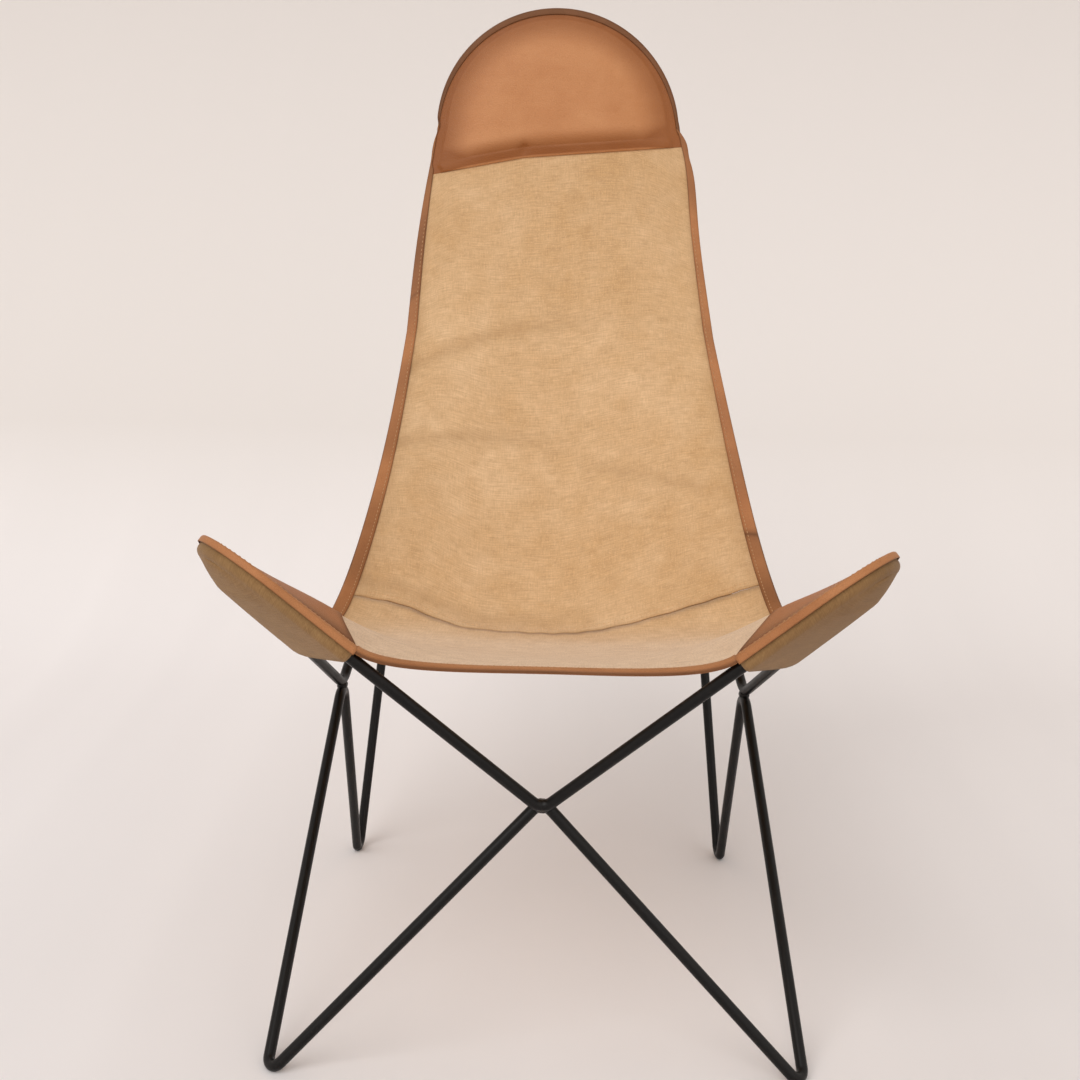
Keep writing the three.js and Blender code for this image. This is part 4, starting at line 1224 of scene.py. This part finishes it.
def headrest():
    """Padded leather: a crowned pad set in a groove inside the edgings, with a rolled hem that slopes."""
    u = np.linspace(-0.985, 0.985, 141)

    def height(v):
        p = sling(u, v)
        past = p[:, 0] - PUCKER_PLACE
        return p[:, 2] - HEADREST_HEIGHT - np.where(past < 0, HEM_SLOPE_LEFT, HEM_SLOPE_RIGHT) * past

    low = closed_in(lambda v: height(v) < 0, np.full(len(u), 0.6), np.ones(len(u)), 40)
    top = head_inset(u, PAD_FLANGE)
    t = np.concatenate([np.linspace(0, 0.12, 26), np.linspace(0.12, 0.86, 46)[1:],
                        np.linspace(0.86, 1, 22)[1:]])
    grid_v = low + (top - low) * t[:, None]
    rows = sling(u + 0 * grid_v, grid_v)
    up = walked_length(rows)
    arch_u = np.linspace(-1, 1, 241)
    inside = gap_to(rows, sling(arch_u, 1 + 0 * arch_u), HEAD_RIM)
    edge_v = np.linspace(0.84, 1, 81)
    for side in (-1, 1):
        edge = sling(side + 0 * edge_v, edge_v)
        inside = np.minimum(inside, gap_to(rows, edge, side_width(edge_v, side)))
    lift = smooth(1.0, 9.0, inside)
    pad = PAD_RISE * smooth(3, 75, inside) * smooth(1, HEM_WIDTH + 16, up)
    hem = HEM_RISE * np.sqrt(np.clip(1 - ((up - HEM_WIDTH / 2) / (HEM_WIDTH / 2)) ** 2, 0, 1))
    gather = hump(PUCKER_PLACE, 6.0, rows[..., 0]) * hump(HEM_WIDTH * 0.8, 8, up)
    low_side = np.full(rows.shape[:2], CANVAS / 2 + 0.1)
    high_side = low_side + 0.25 + lift * (LEATHER + pad + hem - 2.4 * gather)
    # Painted shade: darker in the groove by the edgings and broadly towards the top and sides, in a band
    # above the hem's roll and at the pucker.
    groove = 0.95 * smooth(8.0, 1.0, inside) + 0.85 * smooth(46.0, 3.0, inside)
    rub = groove + 1.05 * smooth(36, 5, up) * smooth(0, 4, up) + 0.4 * gather
    piece = sheet_piece("headrest_pad", rows, low_side, high_side, pad_finish, cut_uv(rows),
                        {"rub": np.clip(rub, 0, 1)})
    return stands_for(piece, "head_patch")


headrest_pad = headrest()


# Stitches

THREAD_RADIUS = 0.5
STITCH_LENGTH = 4.2
STITCH_PITCH = 5.8


def stitch_row(name, line, up, finish=thread_finish, slot="binding"):
    """Thread in short stitches along a line on a surface, with the ends of each pulled down into it."""
    walked = walked_length(line)
    step = np.linspace(-0.5, 0.5, 7)
    girth = THREAD_RADIUS * np.sqrt(1.15 - 3.6 * step**2)
    arch = THREAD_RADIUS * (0.7 - 5.0 * step**2)
    turn = np.linspace(0, 2 * math.pi, 6, endpoint=False)
    points, faces = [], []
    for place in np.arange(STITCH_PITCH, walked[-1] - STITCH_PITCH, STITCH_PITCH):
        at = place + step * STITCH_LENGTH
        middle = np.stack([np.interp(at, walked, line[:, k]) for k in range(3)], -1)
        lifted = unit(np.stack([np.interp(at, walked, up[:, k]) for k in range(3)], -1))
        side = unit(np.cross(lifted, middle[-1] - middle[0]))
        across = (np.cos(turn)[:, None] * side[:, None] + np.sin(turn)[:, None] * lifted[:, None])
        ring = (middle + lifted * arch[:, None])[:, None] + across * girth[:, None, None]
        grid = Grid(ring, closed=True)
        base = sum(len(p) for p in points)
        ends = [grid.ids[0][:-1].tolist()[::-1], grid.ids[-1][:-1].tolist()]
        faces += [[i + base for i in face] for face in grid.faces + ends]
        points.append(grid.points)
    piece = object_from(name, np.concatenate(points), faces, finish)
    return piece


def line_on(rim_uv, inner_uv, share, lift):
    """A line on top of a strip, at a share of its width from its inner edge."""
    p = lerp(sling(*inner_uv), sling(*rim_uv), share)
    n = unit(lerp(sling_normal(*inner_uv), sling_normal(*rim_uv), share))
    return p + n * lift, n


def edging_stitches():
    rows = {}
    top = SKIN + LEATHER
    fine_u = np.linspace(-HORN_SHARE, HORN_SHARE, 200)
    rows["front"] = stitch_row("front_stitches", *line_on(
        (fine_u, 0 * fine_u), (fine_u, front_inset(fine_u)), 0.3, top - 0.15))
    fine_v = np.linspace(POCKET_SHARE, 0.9, 400)
    for word, side in SIDES:
        inner_u = side * side_inset(fine_v, side_width(fine_v, side))
        rows[word] = stitch_row(f"{word}_side_stitches", *line_on(
            (side + 0 * fine_v, fine_v), (inner_u, fine_v), 0.3, top))
        rim_uv, inner_uv, _ = horn_path(side)
        rows[word + "_horn"] = stitch_row(f"{word}_horn_stitches", *line_on(
            rim_uv, inner_uv, 0.35, top - 0.2))
    seam_u = np.linspace(-0.93, 0.93, 300)
    seam_v = seam(seam_u) + 0.007
    seam_n = sling_normal(seam_u, seam_v)
    seam_lift = (cloth_relief(seam_u, seam_v) + CANVAS / 2)[:, None]
    seam_line = sling(seam_u, seam_v) + seam_n * (seam_lift - 0.25)
    rows["seam"] = stitch_row("seam_stitches", seam_line, seam_n, seam_thread_finish, "canvas")
    return rows


stitches = edging_stitches()


# Studio

PHOTO_LENS = 50.0
SENSOR_WIDTH = 36.0
CAMERA_ASIDE = -0.0083
CAMERA_DISTANCE = 1371.2
CAMERA_HEIGHT = 0.8626
LOOK_DOWN = 0.2184
ROLL = 0.0239
FLOOR_END = 0.9
SWEEP_RADIUS = 1.5
FLOOR_REACH = 6
WALL_TOP = 5

camera_data = bpy.data.cameras.new("photo_camera")
camera_data.lens = PHOTO_LENS
camera_data.sensor_width = SENSOR_WIDTH
camera = bpy.data.objects.new("photo_camera", camera_data)
bpy.context.scene.collection.objects.link(camera)
camera_place = (CAMERA_ASIDE, (FEET_LINE - CAMERA_DISTANCE) * MM, CAMERA_HEIGHT)
camera.matrix_world = (Matrix.Translation(camera_place)
                       @ Matrix.Rotation(math.pi / 2 - LOOK_DOWN, 4, "X")
                       @ Matrix.Rotation(ROLL, 4, "Z"))
bpy.context.scene.camera = camera
bpy.context.scene.view_settings.view_transform = "Standard"


def backdrop():
    """A pale floor that sweeps up into a backdrop well behind the chair."""
    flat = np.linspace(-FLOOR_REACH, FLOOR_END, 30)
    turn = np.linspace(0, math.pi / 2, 24)[1:]
    wall = np.linspace(SWEEP_RADIUS, WALL_TOP, 14)[1:]
    depth = np.concatenate([flat, FLOOR_END + SWEEP_RADIUS * np.sin(turn),
                            np.full(len(wall), FLOOR_END + SWEEP_RADIUS)])
    height = np.concatenate([0 * flat, SWEEP_RADIUS * (1 - np.cos(turn)), wall])
    across = np.linspace(-FLOOR_REACH, FLOOR_REACH, 25)
    rows = np.stack([across[None] + 0 * depth[:, None], depth[:, None] + 0 * across[None],
                     height[:, None] + 0 * across[None]], -1)
    n = len(across)
    faces = [[i * n + j, i * n + j + 1, (i + 1) * n + j + 1, (i + 1) * n + j]
             for i in range(len(depth) - 1) for j in range(n - 1)]
    mesh = bpy.data.meshes.new("studio_sweep")
    mesh.from_pydata(rows.reshape(-1, 3).tolist(), [], faces)
    mesh.polygons.foreach_set("use_smooth", np.ones(len(mesh.polygons), bool))
    f = Finish("pale_cloth")
    body = f.body()
    drape = f.noise(f.stretched(body, 5, 0.25, 0.2), 1.0, 2.0, 0.4)
    ground = f.blend(f.ramp(drape, (0.3, 0.0), (0.7, 1.0)), colour(240, 234, 232), colour(245, 239, 237))
    upright = f.ramp(f.part(body, 2), (0.0, 0.0), (0.34, 1.0))
    ground = f.blend(upright * 0.9, ground, colour(223, 215, 209))
    # Painted shade: the backdrop darkens towards the right, away from the key light.
    right_shade = f.ramp(0.5 + 0.3 * f.part(body, 0), (0.3, 0.0), (1.0, 1.0))
    ground = f.blend(right_shade * (0.7 - 0.3 * upright), ground, colour(226, 218, 213))
    mesh.materials.append(f.finished(Base_Color=ground, Roughness=0.95, Specular_IOR_Level=0.05))
    sweep = bpy.data.objects.new("studio_sweep", mesh)
    bpy.context.scene.collection.objects.link(sweep)


backdrop()


def direction(d):
    """Turns a lamp's own down axis towards d."""
    d = unit(np.asarray(d, float))
    side = unit(np.cross(d, (0, 0, 1)) + 1e-9)
    up = np.cross(side, d)
    return Matrix(((side[0], up[0], -d[0], 0), (side[1], up[1], -d[1], 0), (side[2], up[2], -d[2], 0),
                   (0, 0, 0, 1)))


def soft_sun(name, towards, strength, spread):
    """Even light from one side, as from a wide softbox far away."""
    lamp = bpy.data.lights.new(name, "SUN")
    lamp.energy = strength
    lamp.angle = math.radians(spread)
    sun = bpy.data.objects.new(name, lamp)
    bpy.context.scene.collection.objects.link(sun)
    sun.matrix_world = direction(towards)


soft_sun("key_light", (0.55, 1.0, -1.0), 1.42, 50)
soft_sun("fill_light", (-0.9, 1.0, -0.7), 0.46, 70)


def studio_air():
    """Even air light, with a pale room seen where the backdrop ends."""
    world = bpy.data.worlds.new("studio_air")
    bpy.context.scene.world = world
    world.use_nodes = True
    air = Nodes(world.node_tree)
    camera_ray, glossy_ray, clear_ray = (
        air.node("ShaderNodeLightPath", output=name)
        for name in ("Is Camera Ray", "Is Glossy Ray", "Is Transmission Ray"))
    light = air.node("ShaderNodeBackground", None, {"Color": (1.0, 0.985, 0.97, 1.0), "Strength": 0.5})
    seen = air.node("ShaderNodeBackground", None, {"Color": colour(232, 224, 218), "Strength": 1.0})
    both = air.node("ShaderNodeMixShader", None,
                    {0: camera_ray.most(glossy_ray).most(clear_ray), 1: light, 2: seen})
    air.node("ShaderNodeOutputWorld", None, {"Surface": both})


studio_air()
